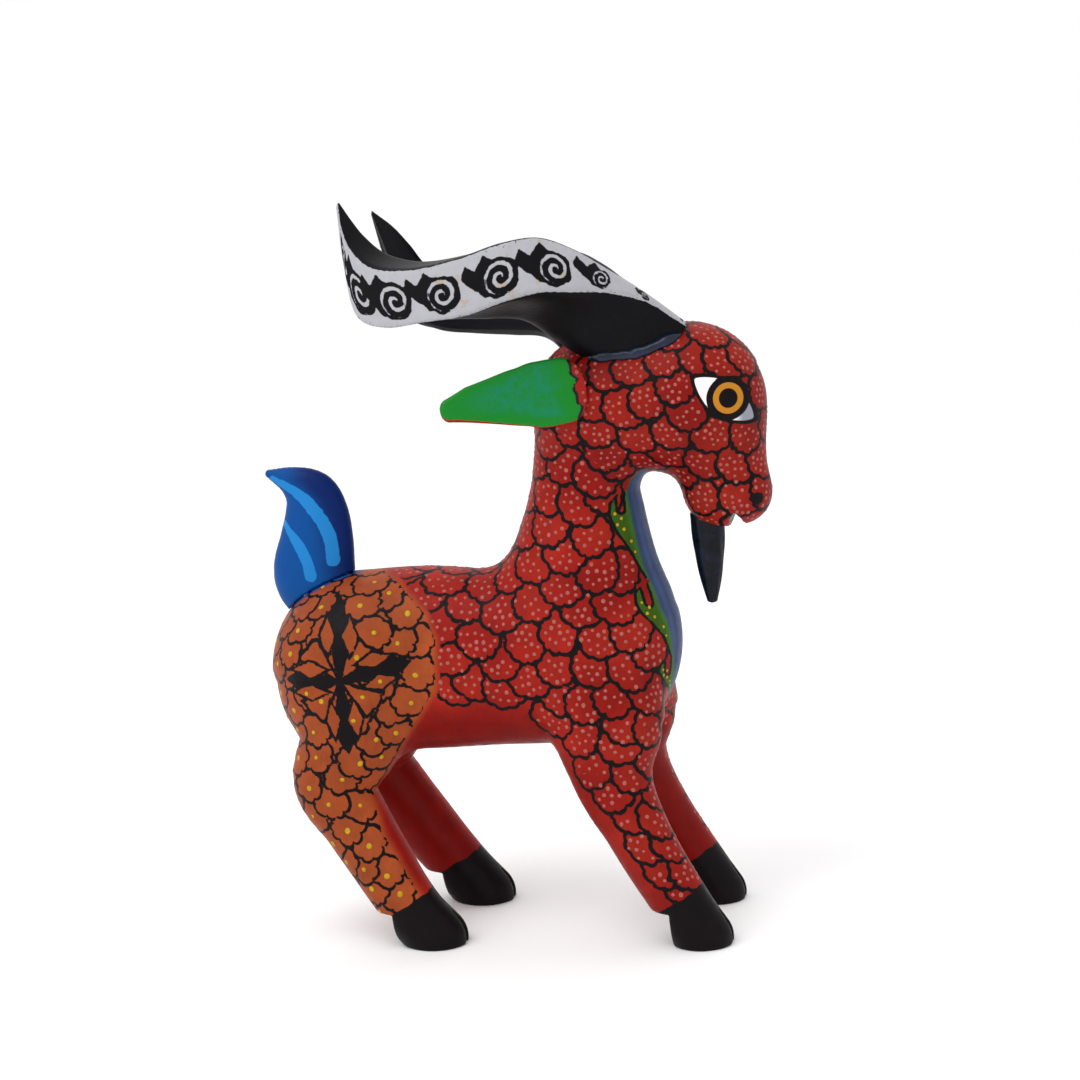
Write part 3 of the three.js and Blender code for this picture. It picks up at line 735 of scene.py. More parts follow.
def wedge_directions():
    """The directions midway between the star's arms."""
    arms = [unit(np.subtract(tip, STAR_CENTRE)) for tip in STAR_TIPS]
    return [unit(arms[k] + arms[(k + 1) % 4]) for k in range(4)]


def arm_lozenge(along, aside, length):
    """Distance round the two small orange lozenges beside an arm."""
    return diamond(along - 0.52 * length, np.abs(aside) - 3.8, *LOZENGE)


def inside_lozenge(u, w):
    """Distance into the small orange lozenges of the star."""
    best = np.full(len(u), -CLEAR)
    for direction, length in star_arms():
        best = np.maximum(best, -arm_lozenge(*measured_from(u, w, STAR_CENTRE, direction), length))
    return best


def star(u, w):
    """The black star's distance, negative in the black, and the distance into its four orange wedges."""
    black = np.full(len(u), CLEAR)
    for direction, length in star_arms():
        a, b = measured_from(u, w, STAR_CENTRE, direction)
        blade = np.maximum(np.abs(b) - np.interp(a / length, *STAR_HALF), np.maximum(-a, a - length))
        lozenge = arm_lozenge(a, b, length)
        arm = np.maximum(np.minimum(blade, lozenge - 0.85), -lozenge)
        black = np.minimum(black, arm)
    wedge = np.full(len(u), -CLEAR)
    for k, direction in enumerate(wedge_directions()):
        a, b = measured_from(u, w, STAR_CENTRE, direction)
        angle = np.arctan2(b, a)
        end = WEDGE_LENGTH * (1 + 0.05 * np.abs(np.sin(9 * angle + k))) - np.hypot(a, b)
        sides = a * math.sin(WEDGE_ANGLE) - np.abs(b) * math.cos(WEDGE_ANGLE)
        wedge = np.maximum(wedge, np.minimum(end, sides))
    return black, wedge


def wedge_dots():
    """Where the yellow dot of each wedge goes, in the painter's plane."""
    return [np.add(STAR_CENTRE, way * WEDGE_LENGTH * 0.66) for way in wedge_directions()]


CHEST_WIDTH = ([66, 80, 94, 106.6, 122.6, 136.6, 150.6], [22, 23.5, 24, 21.5, 19.5, 17.5, 16.5])
BAND_EDGE = ([77, 80, 85, 95, 110, 150, 158], [0, 2.5, 5.3, 8.5, 10.5, 9, 7])
# each leaf of the scroll: level of its top and its bottom, how far its head bulges, how low its curl reaches
LEAVES = [(149.5, 120.5, 7.6, 143.6), (119, 93.2, 8.4, 112.6), (93, 78.5, 7.6, 88.6)]


def chest(points):
    """Distance round the chest from its midline, the band's edge there, and how far into the leaf scroll."""
    z = points[:, 2]
    half = np.interp(z, *CHEST_WIDTH)
    arc = half * np.arcsin(np.clip(np.abs(points[:, 1]) / half, 0, 0.995))
    edge = np.interp(z, *BAND_EDGE)
    leaf = np.full(len(z), -CLEAR)
    for top, bottom, bulge, curl in LEAVES:
        t = (top - z) / (top - bottom)
        width = bulge * np.interp(t, [0, 0.04, 0.12, 0.25, 0.42, 0.7, 1.0], [0, 0.5, 0.85, 1, 0.86, 0.4, 0.1])
        own = np.where((t > -0.02) & (t < 1.02), edge + width - arc, -CLEAR)
        depth = np.clip((top + 2 - z) / (top + 2 - curl), 0, 1)
        slot_arc = edge + bulge * (0.3 + 0.14 * depth)
        slot_z = top + 2 - depth * (top + 2 - curl)
        slot = np.hypot(arc - slot_arc, z - slot_z) - 1.5
        leaf = np.maximum(leaf, np.minimum(own, slot))
    return arc, edge, leaf


EYE_DISC = (71.1, 178.9)
EYE_MIDDLE = (69.95, 178.6)
EYE_AXIS = unit(np.array([18.3, -14.4]))
EYE_SIZE = (12.5, 6.3)  # half the almond's length and half its height
EYE_POWER = 1.36  # 1 would be a diamond, 2 an ellipse
DISC = 7.15  # radius of the eye's black disc
AMBER = 4.05  # radius of the middle of its amber ring
NOSTRIL = (79.0, 144.9)


def eye(u, w):
    """Distance into the almond of the eye, and from the middle of its disc."""
    a, b = measured_from(u, w, EYE_MIDDLE, EYE_AXIS)
    reach = np.abs(a / EYE_SIZE[0]) ** EYE_POWER + np.abs(b / EYE_SIZE[1]) ** EYE_POWER
    reach = reach ** (1 / EYE_POWER)
    return (1 - reach) * 7.6, np.hypot(u - EYE_DISC[0], w - EYE_DISC[1])


HOOF_TOPS = {"front": (54.6, 17.6), "hind": (-38.8, 15.8)}  # x and z of a place on each hoof's upper edge
HOOF_SLANT = 0.55


def hoof_line(points):
    """Distance above the slanting upper edge of the black hooves."""
    x, y, z = points.T
    out = np.full(len(points), CLEAR)
    for name, (_, side, drift, _) in LEGS.items():
        middle, level = HOOF_TOPS[name.split("_")[0]]
        own = (np.sign(y) == -side) & ((x > 0) == (middle > 0)) & (z < 40)
        out = np.where(own, (z - level - HOOF_SLANT * (x - middle - drift)) * 0.88, out)
    return out


def coat_zones(points, normals):
    """Where each ground colour goes: how far into the haunch's orange, and where scales may be laid."""
    u, w = painter_plane(points)
    x, y, z = points.T
    outward = normals[:, 1] * np.sign(y)
    inner = (outward < -0.22) & (z < 66)
    haunch = inside_outline(u, w, HAUNCH)
    haunch = np.where(inner, -CLEAR, haunch)
    arc, edge, leaf = chest(points)
    front = (normals[:, 0] > 0.02) & (z > 76) & (z < 158) & (x > 20) & (x < 57 - ramp(z, 130, 142) * 10)
    band = front & (arc < edge)
    scroll = front & (leaf > 0) & ~band
    scaled = (inside_outline(u, w, SCALED) > 0) | (z > 140)
    scaled &= (haunch < -0.5) & ~inner & ~(front & ((arc < edge + 4.5) | (leaf > -2.2)))
    under = (normals[:, 2] < -0.55) & (z < 84) & (z > 50)
    return {
        "haunch": haunch,
        "inner": inner,
        "front": front,
        "arc": arc,
        "edge": edge,
        "leaf": leaf,
        "band": band,
        "scroll": scroll,
        "scaled": scaled & ~under,
    }


class Coat:
    """The painter's plan for the whole figure, so that every piece is painted to match its neighbours."""

    def __init__(self, settings, points, normals):
        self.settings = settings
        self.half_line = settings.line / MM / 2
        rng = np.random.default_rng(settings.seed)
        zones = coat_zones(points, normals)
        u, w = painter_plane(points)
        x, y, z = points.T
        almond, disc = eye(u, w)
        outward = normals[:, 1] * np.sign(y)
        at_eye = ((almond > -1) | (disc < 8.5)) & (outward > 0.15) & (x > 55) & (z > 165)
        head = (points - OFFSET - np.array(NAPE)) @ HEAD_NORMAL > 0
        black, wedge = star(u, w)
        on_star = ((black < 1.2) | (wedge > -1.5)) & (outward > 0.2) & (z > 62)
        scales = zones["scaled"] & ~at_eye
        flow = (-0.42, 0, -1)
        self.scales = [
            Cells(points[m], normals[m], gap / MM, flow, (9, 12), 1.1, 0.6, rng)
            for m, gap in ((scales & ~head, settings.scale_gap), (scales & head, settings.head_gap))
        ]
        petal = (zones["haunch"] > 2.6) & ~on_star & (hoof_line(points) > 1)
        gap = settings.petal_gap / MM
        self.petals = Cells(points[petal], normals[petal], gap, (0.3, 0, -1), (6, 8), 1.5, 0.6, rng)

    def lay(self, points, normals):
        """The paint at each point: ground colour, distance to the black, the eye's colours, room for dots."""
        s = self.settings
        u, w = painter_plane(points)
        x, y, z = points.T
        zones = coat_zones(points, normals)
        outward = normals[:, 1] * np.sign(y)
        drawn = hand_wobble(points, 5.5, 0.32, s.seed + 3)
        du, dw = painter_plane(drawn)

        scale_line = np.full(len(points), CLEAR)
        scaled = np.zeros(len(points), bool)
        chest_free = ~(zones["front"] & ((zones["arc"] < zones["edge"]) | (zones["leaf"] > 0)))
        skin = (zones["haunch"] < -0.6) & chest_free & ~zones["inner"]
        for cells in self.scales:
            scale_line, scaled = cells.paint(drawn, normals, scale_line, scaled, skin)

        ground = zones["haunch"] > 0.5
        blank = np.full(len(points), CLEAR)
        petal_line, _ = self.petals.paint(drawn, normals, blank, np.zeros(len(points), bool), ground)
        line = np.where(ground, petal_line, np.where(skin, scale_line, CLEAR))
        ink = line - np.where(ground, 0.88, 1.0) * self.half_line

        black, wedge = star(du, dw)
        on_side = (outward > 0.12) & (z > 60) & (x < -15)
        wedge_ink = np.where(wedge > 0, wedge - 0.55, np.maximum(-wedge - 0.55, -5))
        ink = np.where(on_side & (wedge > 0), wedge_ink, np.where(on_side, np.minimum(ink, wedge_ink), ink))
        near_star = on_side & (black < 3)
        lozenges = on_side & (black > 0) & (black < 1.9) & (inside_lozenge(du, dw) > 0)
        ink = np.where(lozenges, black, np.where(near_star, np.minimum(ink, black), ink))

        arc, edge, leaf = zones["arc"], zones["edge"], zones["leaf"]
        scroll_line = np.abs(leaf) - 0.55
        by_scroll = zones["front"] & (arc > edge - 0.2) & (leaf > -2)
        ink = np.where(by_scroll, np.minimum(ink, scroll_line), ink)

        almond, disc = eye(0.8 * u + 0.2 * du, 0.8 * w + 0.2 * dw)
        at_eye = (outward > -0.25) & (x > 50) & (z > 160)
        eye_ink = np.minimum(disc - DISC, np.where(almond > 0, almond - 0.45, -almond - 0.75))
        inside_eye = at_eye & ((almond > -0.2) | (disc < DISC))
        ink = np.where(at_eye & (almond > 0), eye_ink, np.where(at_eye, np.minimum(ink, eye_ink), ink))
        white = np.where(at_eye, np.minimum(almond - 0.45, disc - DISC), -CLEAR)
        amber = np.where(at_eye, 0.95 - np.abs(disc - AMBER), -CLEAR)

        muzzle = (x > 66) & (z < 196)
        blot = np.hypot(du - NOSTRIL[0], (dw - NOSTRIL[1]) * 1.05)
        blot -= 2.1 + 0.15 * np.sin(3 * np.arctan2(dw - NOSTRIL[1], du - NOSTRIL[0]) + 1)
        ink = np.where(muzzle, np.minimum(ink, np.where(outward > -0.2, blot, CLEAR)), ink)
        middle = drawn[:, 1] + 1.1 * np.sin(0.27 * z) + 0.6 * np.sin(0.74 * z)
        ridge = np.where(muzzle & (normals[:, 0] > 0.2) & (z > 140), np.abs(middle) - 0.5, CLEAR)
        ink = np.minimum(ink, ridge)

        hoof = hoof_line(drawn)
        ink = np.minimum(ink, hoof)
        ink = np.where(zones["band"] & (arc < edge - 0.3), np.maximum(ink, 1.0), ink)

        colour = self.ground(points, normals, zones, outward)
        hole = sockets(points) < 0.25
        colour[hole] = linear("#a88150")
        ink = np.where(hole, CLEAR, ink)

        allowed = (scaled | zones["scaled"]) & skin & ~inside_eye & ~hole
        allowed &= (scale_line > self.half_line + 0.55) & (ink > 0.55)
        dots = np.where(allowed & (hoof > 1.5), 1.0, 0.0)
        # Painted shade: the front corner of the eye's white is made grey.
        eye_front_shade = np.where(white > -2, ramp(u, 72, 76), 0.0)
        return {"paint": colour, "ink": ink, "white": white, "front": eye_front_shade, "amber": amber, "dots": dots}

    def ground(self, points, normals, zones, outward):
        """The soft ground colours under the brush lines, with painted shade on the belly, the insides of the
        legs and towards the head and front legs.
        """
        s = self.settings
        x, y, z = points.T
        red, plain, orange = (np.array(c) for c in (s.red, s.underside_shade_red, s.orange))
        blue, green = np.array(s.blue), np.array(s.green)
        # Painted shade: faces that look down below the flank, and the insides of the legs, turn to the darker
        # underside red.
        under = np.clip(ramp(-normals[:, 2], 0.05, 0.8) * ramp(z, 92, 70) + zones["inner"], 0, 1)
        drift = hand_wobble(points, 34, 1.0, s.seed + 9) - points
        warmth = np.clip(0.5 + 0.7 * drift[:, 0], 0, 1)[:, None]
        # Painted shade: the red is darkened towards the head and the front legs, on top of a random drift of
        # warmth.
        tone = (0.82 + 0.28 * warmth) * (1 - 0.16 * ramp(x, 15, 60))[:, None]
        red = red * tone + np.array([0.0, 0.006, 0.002]) * warmth
        colour = red + (plain - red) * under[:, None]
        orange_in = ramp(zones["haunch"], -1.6, 2.0)
        shade = 0.92 + 0.16 * ramp(zones["haunch"], 9, 0)
        colour = colour + (orange * shade[:, None] - colour) * orange_in[:, None]
        tail = tail_distance(points)
        blue_in = ramp(tail, 4.5, 0.8) * ramp(z, 96, 108)
        colour = colour + (linear("#023e7c") - colour) * blue_in[:, None]

        arc, edge = zones["arc"], zones["edge"]
        streak = 0.5 + 0.5 * np.sin(arc * 1.15 + 0.05 * z) * np.cos(arc * 0.42 - 0.03 * z + 0.6)
        band = blue * (0.72 + 0.62 * streak)[:, None]
        leaf_green = green * (1 + 0.8 * ramp(arc - edge, 2.5, 0.4))[:, None] + np.array([0.02, 0.03, 0.0])
        mix = ramp(arc - edge, 1.3, -1.5)[:, None]
        chest_paint = leaf_green + (band - leaf_green) * mix
        on_chest = zones["band"] | zones["scroll"]
        colour = np.where(on_chest[:, None], chest_paint, colour)
        row_x, _, row_z = (points - OFFSET).T
        mouth = (np.abs(row_x - MOUTH_X) < 2.9) & (row_z < 142.4) & (row_z > 134)
        mouth &= normals[:, 0] ** 2 > 0.1
        lip = solid_figure(points) < -0.55
        colour = np.where((mouth & lip)[:, None], linear("#0c857b"), colour)
        return colour


HEAD_NORMAL = unit(np.array([NAPE[2] - THROAT[2], 0.0, THROAT[0] - NAPE[0]]))
studio = {}


# ---- materials -----------------------------------------------------------------------------------


def add(tree, kind, settings=None, **inputs):
    """Adds a node with its settings. An input is linked to a socket, or set to anything else."""
    node = tree.nodes.new(kind)
    for name, value in (settings or {}).items():
        setattr(node, name, value)
    for name, value in inputs.items():
        numbered = name[0] == "_" and name[1:].isdigit()
        socket = node.inputs[int(name[1:]) if numbered else name.replace("_", " ")]
        if isinstance(value, bpy.types.NodeSocket):
            tree.links.new(value, socket)
        else:
            socket.default_value = value
    return node


def new_material(name):
    material = bpy.data.materials.new(name)
    material.use_nodes = True
    tree = material.node_tree
    tree.nodes.clear()
    shader = add(tree, "ShaderNodeBsdfPrincipled")
    shader.inputs["Specular IOR Level"].default_value = 0.1
    out = add(tree, "ShaderNodeOutputMaterial")
    tree.links.new(shader.outputs[0], out.inputs[0])
    return material, tree, shader


def object_noise(tree, size_mm, detail=3.0, roughness=0.5, stretch=(1, 1, 1)):
    """Noise on the piece's own coordinates with blotches of about that size."""
    where = add(tree, "ShaderNodeTexCoord").outputs["Object"]
    if stretch != (1, 1, 1):
        where = add(tree, "ShaderNodeMapping", Vector=where, Scale=stretch).outputs[0]
    scale = 1 / (size_mm * MM)
    noise = add(tree, "ShaderNodeTexNoise", Vector=where, Scale=scale, Detail=detail, Roughness=roughness)
    return noise.outputs[0]


def spread_range(tree, value, low, high, to_low, to_high, smooth=False):
    kind = {"interpolation_type": "SMOOTHSTEP"} if smooth else {}
    limits = {"From_Min": low, "From_Max": high, "To_Min": to_low, "To_Max": to_high}
    return add(tree, "ShaderNodeMapRange", kind, Value=value, **limits).outputs[0]


def attribute(tree, name):
    return add(tree, "ShaderNodeAttribute", {"attribute_name": name})


def mix_colour(tree, factor, a, b):
    return add(tree, "ShaderNodeMix", {"data_type": "RGBA"}, _0=factor, _6=a, _7=b).outputs[2]


def math_node(tree, operation, a, b):
    return add(tree, "ShaderNodeMath", {"operation": operation}, _0=a, _1=b).outputs[0]


def toned_by(tree, colour, tone):
    """A colour made lighter or darker by a number."""
    return add(tree, "ShaderNodeVectorMath", {"operation": "SCALE"}, _0=colour, Scale=tone).outputs[0]


def brushed_edge(tree, mark, size_mm, detail, drift_mm):
    """The distance to a mark, whose edge swells and thins as a hand's brush stroke does."""
    noise = object_noise(tree, size_mm, detail)
    wobble = spread_range(tree, noise, 0.25, 0.75, -drift_mm, drift_mm)
    return math_node(tree, "ADD", attribute(tree, mark).outputs["Fac"], wobble)


def uneven_gloss(tree, shader, size_mm, low, high):
    """Roughness that drifts between two values."""
    gloss = spread_range(tree, object_noise(tree, size_mm), 0.3, 0.7, low, high)
    tree.links.new(gloss, shader.inputs["Roughness"])


def faded(colour, share):
    """A linear colour brought down to a share of its brightness, with its alpha."""
    return (*[c * share for c in colour], 1.0)


def brushed_bump(tree, shader, strength, size_mm=1.3, extra=None, distance_mm=0.12):
    """Fine relief: the drag of the brush over sanded wood, and any raised paint."""
    drag = object_noise(tree, size_mm, 4.0, 0.6, (1, 1, 0.35))
    height = drag if extra is None else math_node(tree, "ADD", drag, extra)
    bump = add(tree, "ShaderNodeBump", Strength=strength, Distance=distance_mm * MM, Height=height)
    tree.links.new(bump.outputs[0], shader.inputs["Normal"])


def coat_material():
    """Acrylic brushed on sanded copal wood under thin satin varnish: slightly uneven colour, soft gloss."""
    material, tree, shader = new_material("brushed_acrylic_coat")
    ground = attribute(tree, "paint").outputs["Color"]
    mottle = spread_range(tree, object_noise(tree, 7.0), 0.3, 0.7, 0.86, 1.12)
    strokes = spread_range(tree, object_noise(tree, 1.1, 4.0, 0.6, (1, 1, 0.3)), 0.3, 0.7, 0.94, 1.06)
    toned = toned_by(tree, ground, math_node(tree, "MULTIPLY", mottle, strokes))
    edge = brushed_edge(tree, "ink", 1.5, 2.0, 0.22)
    inked = spread_range(tree, edge, -0.1, 0.12, 1.0, 0.0, smooth=True)
    black = mix_colour(tree, object_noise(tree, 3.0), rgba("#060509"), rgba("#12090c"))
    colour = mix_colour(tree, inked, toned, black)
    white = spread_range(tree, attribute(tree, "white").outputs["Fac"], -0.1, 0.1, 0.0, 1.0, smooth=True)
    front = attribute(tree, "front").outputs["Fac"]
    # The eye's white goes grey at its front corner as painted shade.
    eye_white_and_shade = mix_colour(tree, front, rgba("#f2f2f2"), rgba("#8f929e"))
    colour = mix_colour(tree, white, colour, eye_white_and_shade)
    amber = spread_range(tree, attribute(tree, "amber").outputs["Fac"], -0.1, 0.1, 0.0, 1.0, smooth=True)
    colour = mix_colour(tree, amber, colour, rgba("#bb7b22"))
    tree.links.new(colour, shader.inputs["Base Color"])
    uneven_gloss(tree, shader, 2.5, 0.36, 0.5)
    brushed_bump(tree, shader, 0.35, extra=math_node(tree, "MULTIPLY", inked, 0.35))
    return material


def dab_material(name, colour):
    """A thick dab of acrylic from the end of a stick: a little raised, satin, its colour never quite even."""
    material, tree, shader = new_material(name)
    tint = spread_range(tree, object_noise(tree, 2.2), 0.3, 0.7, 0.82, 1.12)
    tree.links.new(toned_by(tree, tuple(colour), tint), shader.inputs["Base Color"])
    shader.inputs["Roughness"].default_value = 0.42
    return material


def plain_material(name, colour, highlight_blue, blotch_mm, roughness, bump, coat=0.0):
    """Acrylic in one colour over carved wood, blotched and streaked with a second, bluish colour that is a
    painted highlight.
    """
    material, tree, shader = new_material(name)
    blotch = spread_range(tree, object_noise(tree, blotch_mm, 4.0, 0.6, (0.4, 1, 1)), 0.35, 0.68, 0.0, 1.0)
    colour = mix_colour(tree, blotch, (*colour, 1.0), (*highlight_blue, 1.0))
    tree.links.new(colour, shader.inputs["Base Color"])
    uneven_gloss(tree, shader, 2.0, roughness - 0.07, roughness + 0.09)
    brushed_bump(tree, shader, bump)
    shader.inputs["Coat Weight"].default_value = coat
    shader.inputs["Coat Roughness"].default_value = 0.18
    return material


def horn_material(white, black):
    """Black scrolls on white acrylic, rubbed through in dark specks near its edges and stained with ochre."""
    material, tree, shader = new_material("worn_acrylic_horn")
    mottle = object_noise(tree, 4.0, 4.0, 0.6)
    band = mix_colour(tree, mottle, (*white, 1.0), faded(white, 0.78))
    scroll = mix_colour(tree, mottle, (*black, 1.0), faded(black, 0.7))
    edge = brushed_edge(tree, "ink", 1.6, 3.0, 0.25)
    marked = spread_range(tree, edge, -0.12, 0.12, 1.0, 0.0, smooth=True)
    specks = object_noise(tree, 0.9, 5.0, 0.7)
    rim = spread_range(tree, attribute(tree, "rim").outputs["Fac"], 0.0, 2.5, 0.09, -0.04)
    rubbed = spread_range(tree, math_node(tree, "ADD", specks, rim), 0.66, 0.7, 0.0, 1.0)
    ochre = spread_range(tree, object_noise(tree, 5.0), 0.62, 0.7, 0.0, 0.45)
    band = mix_colour(tree, ochre, band, rgba("#a98a55"))
    band = mix_colour(tree, rubbed, band, rgba("#2b2523"))
    tree.links.new(mix_colour(tree, marked, band, scroll), shader.inputs["Base Color"])
    shader.inputs["Roughness"].default_value = 0.45
    brushed_bump(tree, shader, 0.5, 1.6, distance_mm=0.18)
    return material


def copal_material():
    """Bare whittled copal: pale straw-coloured wood with fine straight grain and a dry, matt surface."""
    material, tree, shader = new_material("bare_copal_wood")
    where = add(tree, "ShaderNodeTexCoord").outputs["Object"]
    grain = add(
        tree,
        "ShaderNodeTexWave",
        {"wave_type": "BANDS", "bands_direction": "X"},
        Vector=where,
        Scale=1 / (2.2 * MM * 20),
        Distortion=5.0,
        Detail=3.0,
    )
    colour = mix_colour(tree, grain.outputs["Fac"], rgba("#c79f66"), rgba("#b08650"))
    tree.links.new(colour, shader.inputs["Base Color"])
    shader.inputs["Roughness"].default_value = 0.75
    brushed_bump(tree, shader, 0.4)
    return material


# ---- dabs of paint, by geometry nodes ------------------------------------------------------------


def dab_tree(name, scattered):
    """Lays small domed dabs, scattered over a surface where its dots attribute allows, or one a point."""
    tree = bpy.data.node_groups.new(name, "GeometryNodeTree")
    ports = tree.interface
    ports.new_socket("Geometry", in_out="INPUT", socket_type="NodeSocketGeometry")
    for label in ("Dab radius", "Dab height", "Dab spacing"):
        ports.new_socket(label, in_out="INPUT", socket_type="NodeSocketFloat")
    ports.new_socket("Seed", in_out="INPUT", socket_type="NodeSocketInt")
    ports.new_socket("Paint", in_out="INPUT", socket_type="NodeSocketMaterial")
    ports.new_socket("Geometry", in_out="OUTPUT", socket_type="NodeSocketGeometry")
    source = add(tree, "NodeGroupInput").outputs
    if scattered:
        allowed = add(tree, "GeometryNodeInputNamedAttribute", {"data_type": "FLOAT"}, Name="dots").outputs[0]
        laid = add(
            tree,
            "GeometryNodeDistributePointsOnFaces",
            {"distribute_method": "POISSON"},
            Mesh=source["Geometry"],
            Distance_Min=source["Dab spacing"],
            Density_Max=1.6e6,
            Density_Factor=allowed,
            Seed=source["Seed"],
        )
        points, turn = laid.outputs["Points"], laid.outputs["Rotation"]
    else:
        vector = {"data_type": "FLOAT_VECTOR"}
        facing = add(tree, "GeometryNodeInputNamedAttribute", vector, Name="facing").outputs[0]
        turn = add(tree, "FunctionNodeAlignRotationToVector", {"axis": "Z"}, Vector=facing).outputs[0]
        points = add(tree, "GeometryNodeMeshToPoints", Mesh=source["Geometry"]).outputs[0]
    number = {"data_type": "FLOAT"}
    swell = add(tree, "FunctionNodeRandomValue", number, _2=0.78, _3=1.18, Seed=source["Seed"]).outputs[1]
    lean = add(tree, "FunctionNodeRandomValue", number, _2=0.86, _3=1.16, Seed=5).outputs[1]
    wide = math_node(tree, "MULTIPLY", source["Dab radius"], swell)
    long = math_node(tree, "MULTIPLY", wide, lean)
    size = add(tree, "ShaderNodeCombineXYZ", X=wide, Y=long, Z=source["Dab height"])
    dome = add(tree, "GeometryNodeMeshUVSphere", Segments=8, Rings=4, Radius=1.0)
    soft = add(tree, "GeometryNodeSetShadeSmooth", Geometry=dome.outputs[0])
    placed = add(
        tree,
        "GeometryNodeInstanceOnPoints",
        Points=points,
        Instance=soft.outputs[0],
        Rotation=turn,
        Scale=size.outputs[0],
    )
    real = add(tree, "GeometryNodeRealizeInstances", Geometry=placed.outputs[0])
    painted = add(tree, "GeometryNodeSetMaterial", Geometry=real.outputs[0], Material=source["Paint"])
    out = add(tree, "NodeGroupOutput")
    tree.links.new(painted.outputs[0], out.inputs[0])
    return tree


def lay_dabs(name, mesh, tree, values):
    """Runs a dab tree over a mesh and keeps what it makes as a plain piece."""
    carrier = bpy.data.objects.new(name + "_carrier", mesh)
    bpy.context.scene.collection.objects.link(carrier)
    modifier = carrier.modifiers.new("dabs", "NODES")
    modifier.node_group = tree
    identifiers = {s.name: s.identifier for s in tree.interface.items_tree if s.in_out == "INPUT"}
    for label, value in values.items():
        modifier[identifiers[label]] = value
    graph = bpy.context.evaluated_depsgraph_get()
    made = bpy.data.meshes.new_from_object(carrier.evaluated_get(graph))
    bpy.data.objects.remove(carrier)
    if not len(made.polygons):
        raise RuntimeError(name + " has no dabs")
    made.name = name
    for attribute_name in ("dots", "facing", "ink", "white", "front", "amber", "paint", "green"):
        if attribute_name in made.attributes:
            made.attributes.remove(made.attributes[attribute_name])
    made.materials.clear()
    made.materials.append(values["Paint"])
    return enter(name, made, "figure")


def spots_mesh(name, points, normals):
    """Loose points that each know which way their surface faces."""
    mesh = bpy.data.meshes.new(name)
    mesh.from_pydata((points * MM).tolist(), [], [])
    facing = mesh.attributes.new("facing", "FLOAT_VECTOR", "POINT")
    facing.data.foreach_set("vector", np.ascontiguousarray(normals, np.float32).ravel())
    return mesh


# ---- operators -----------------------------------------------------------------------------------


class GOAT_OT_figure(bpy.types.Operator):
    """Carve and paint the trunk, the head and the four legs"""

    bl_idname = "goat.carve_figure"
    bl_label = "Carve the figure"

    def execute(self, context):
        settings = context.scene.goat_coat
        low = np.array([-102, -42, -3]) + OFFSET
        high = np.array([90, 44, 206]) + OFFSET
        points, faces = carve(cut_figure, low, high, settings.grain / MM)
        normals = unit(slope(cut_figure, points))
        coat = Coat(settings, points, normals)
        studio.update(points=points, normals=normals, coat=coat)
        material = coat_material()

        nape = np.array(NAPE) + OFFSET
        seam = np.array([0, 0, SEAM_Z]) + OFFSET
        up = np.array([0.0, 0, 1])
        everywhere = np.ones(len(points), bool)
        parts = {
            "body": (everywhere, [(nape, HEAD_NORMAL), (seam, -up)]),
            "head": (everywhere, [(nape, -HEAD_NORMAL)]),
        }
        for name, (rows, side, _, _) in LEGS.items():
            own = (np.sign(points[:, 1]) == -side) & ((points[:, 0] > -10) == (rows is FRONT_LEG))
            parts[name] = (own, [(seam, up)])
        for name, (keep, planes) in parts.items():
            mesh = part_of("painted_" + name, points, faces, keep, planes)
            smooth_faces(mesh)
            own = points_of(mesh)
            write_paint(mesh, coat.lay(own, unit(slope(cut_figure, own))))
            studio[name] = piece("painted_" + name, mesh, "figure", material, [name])
        return {"FINISHED"}


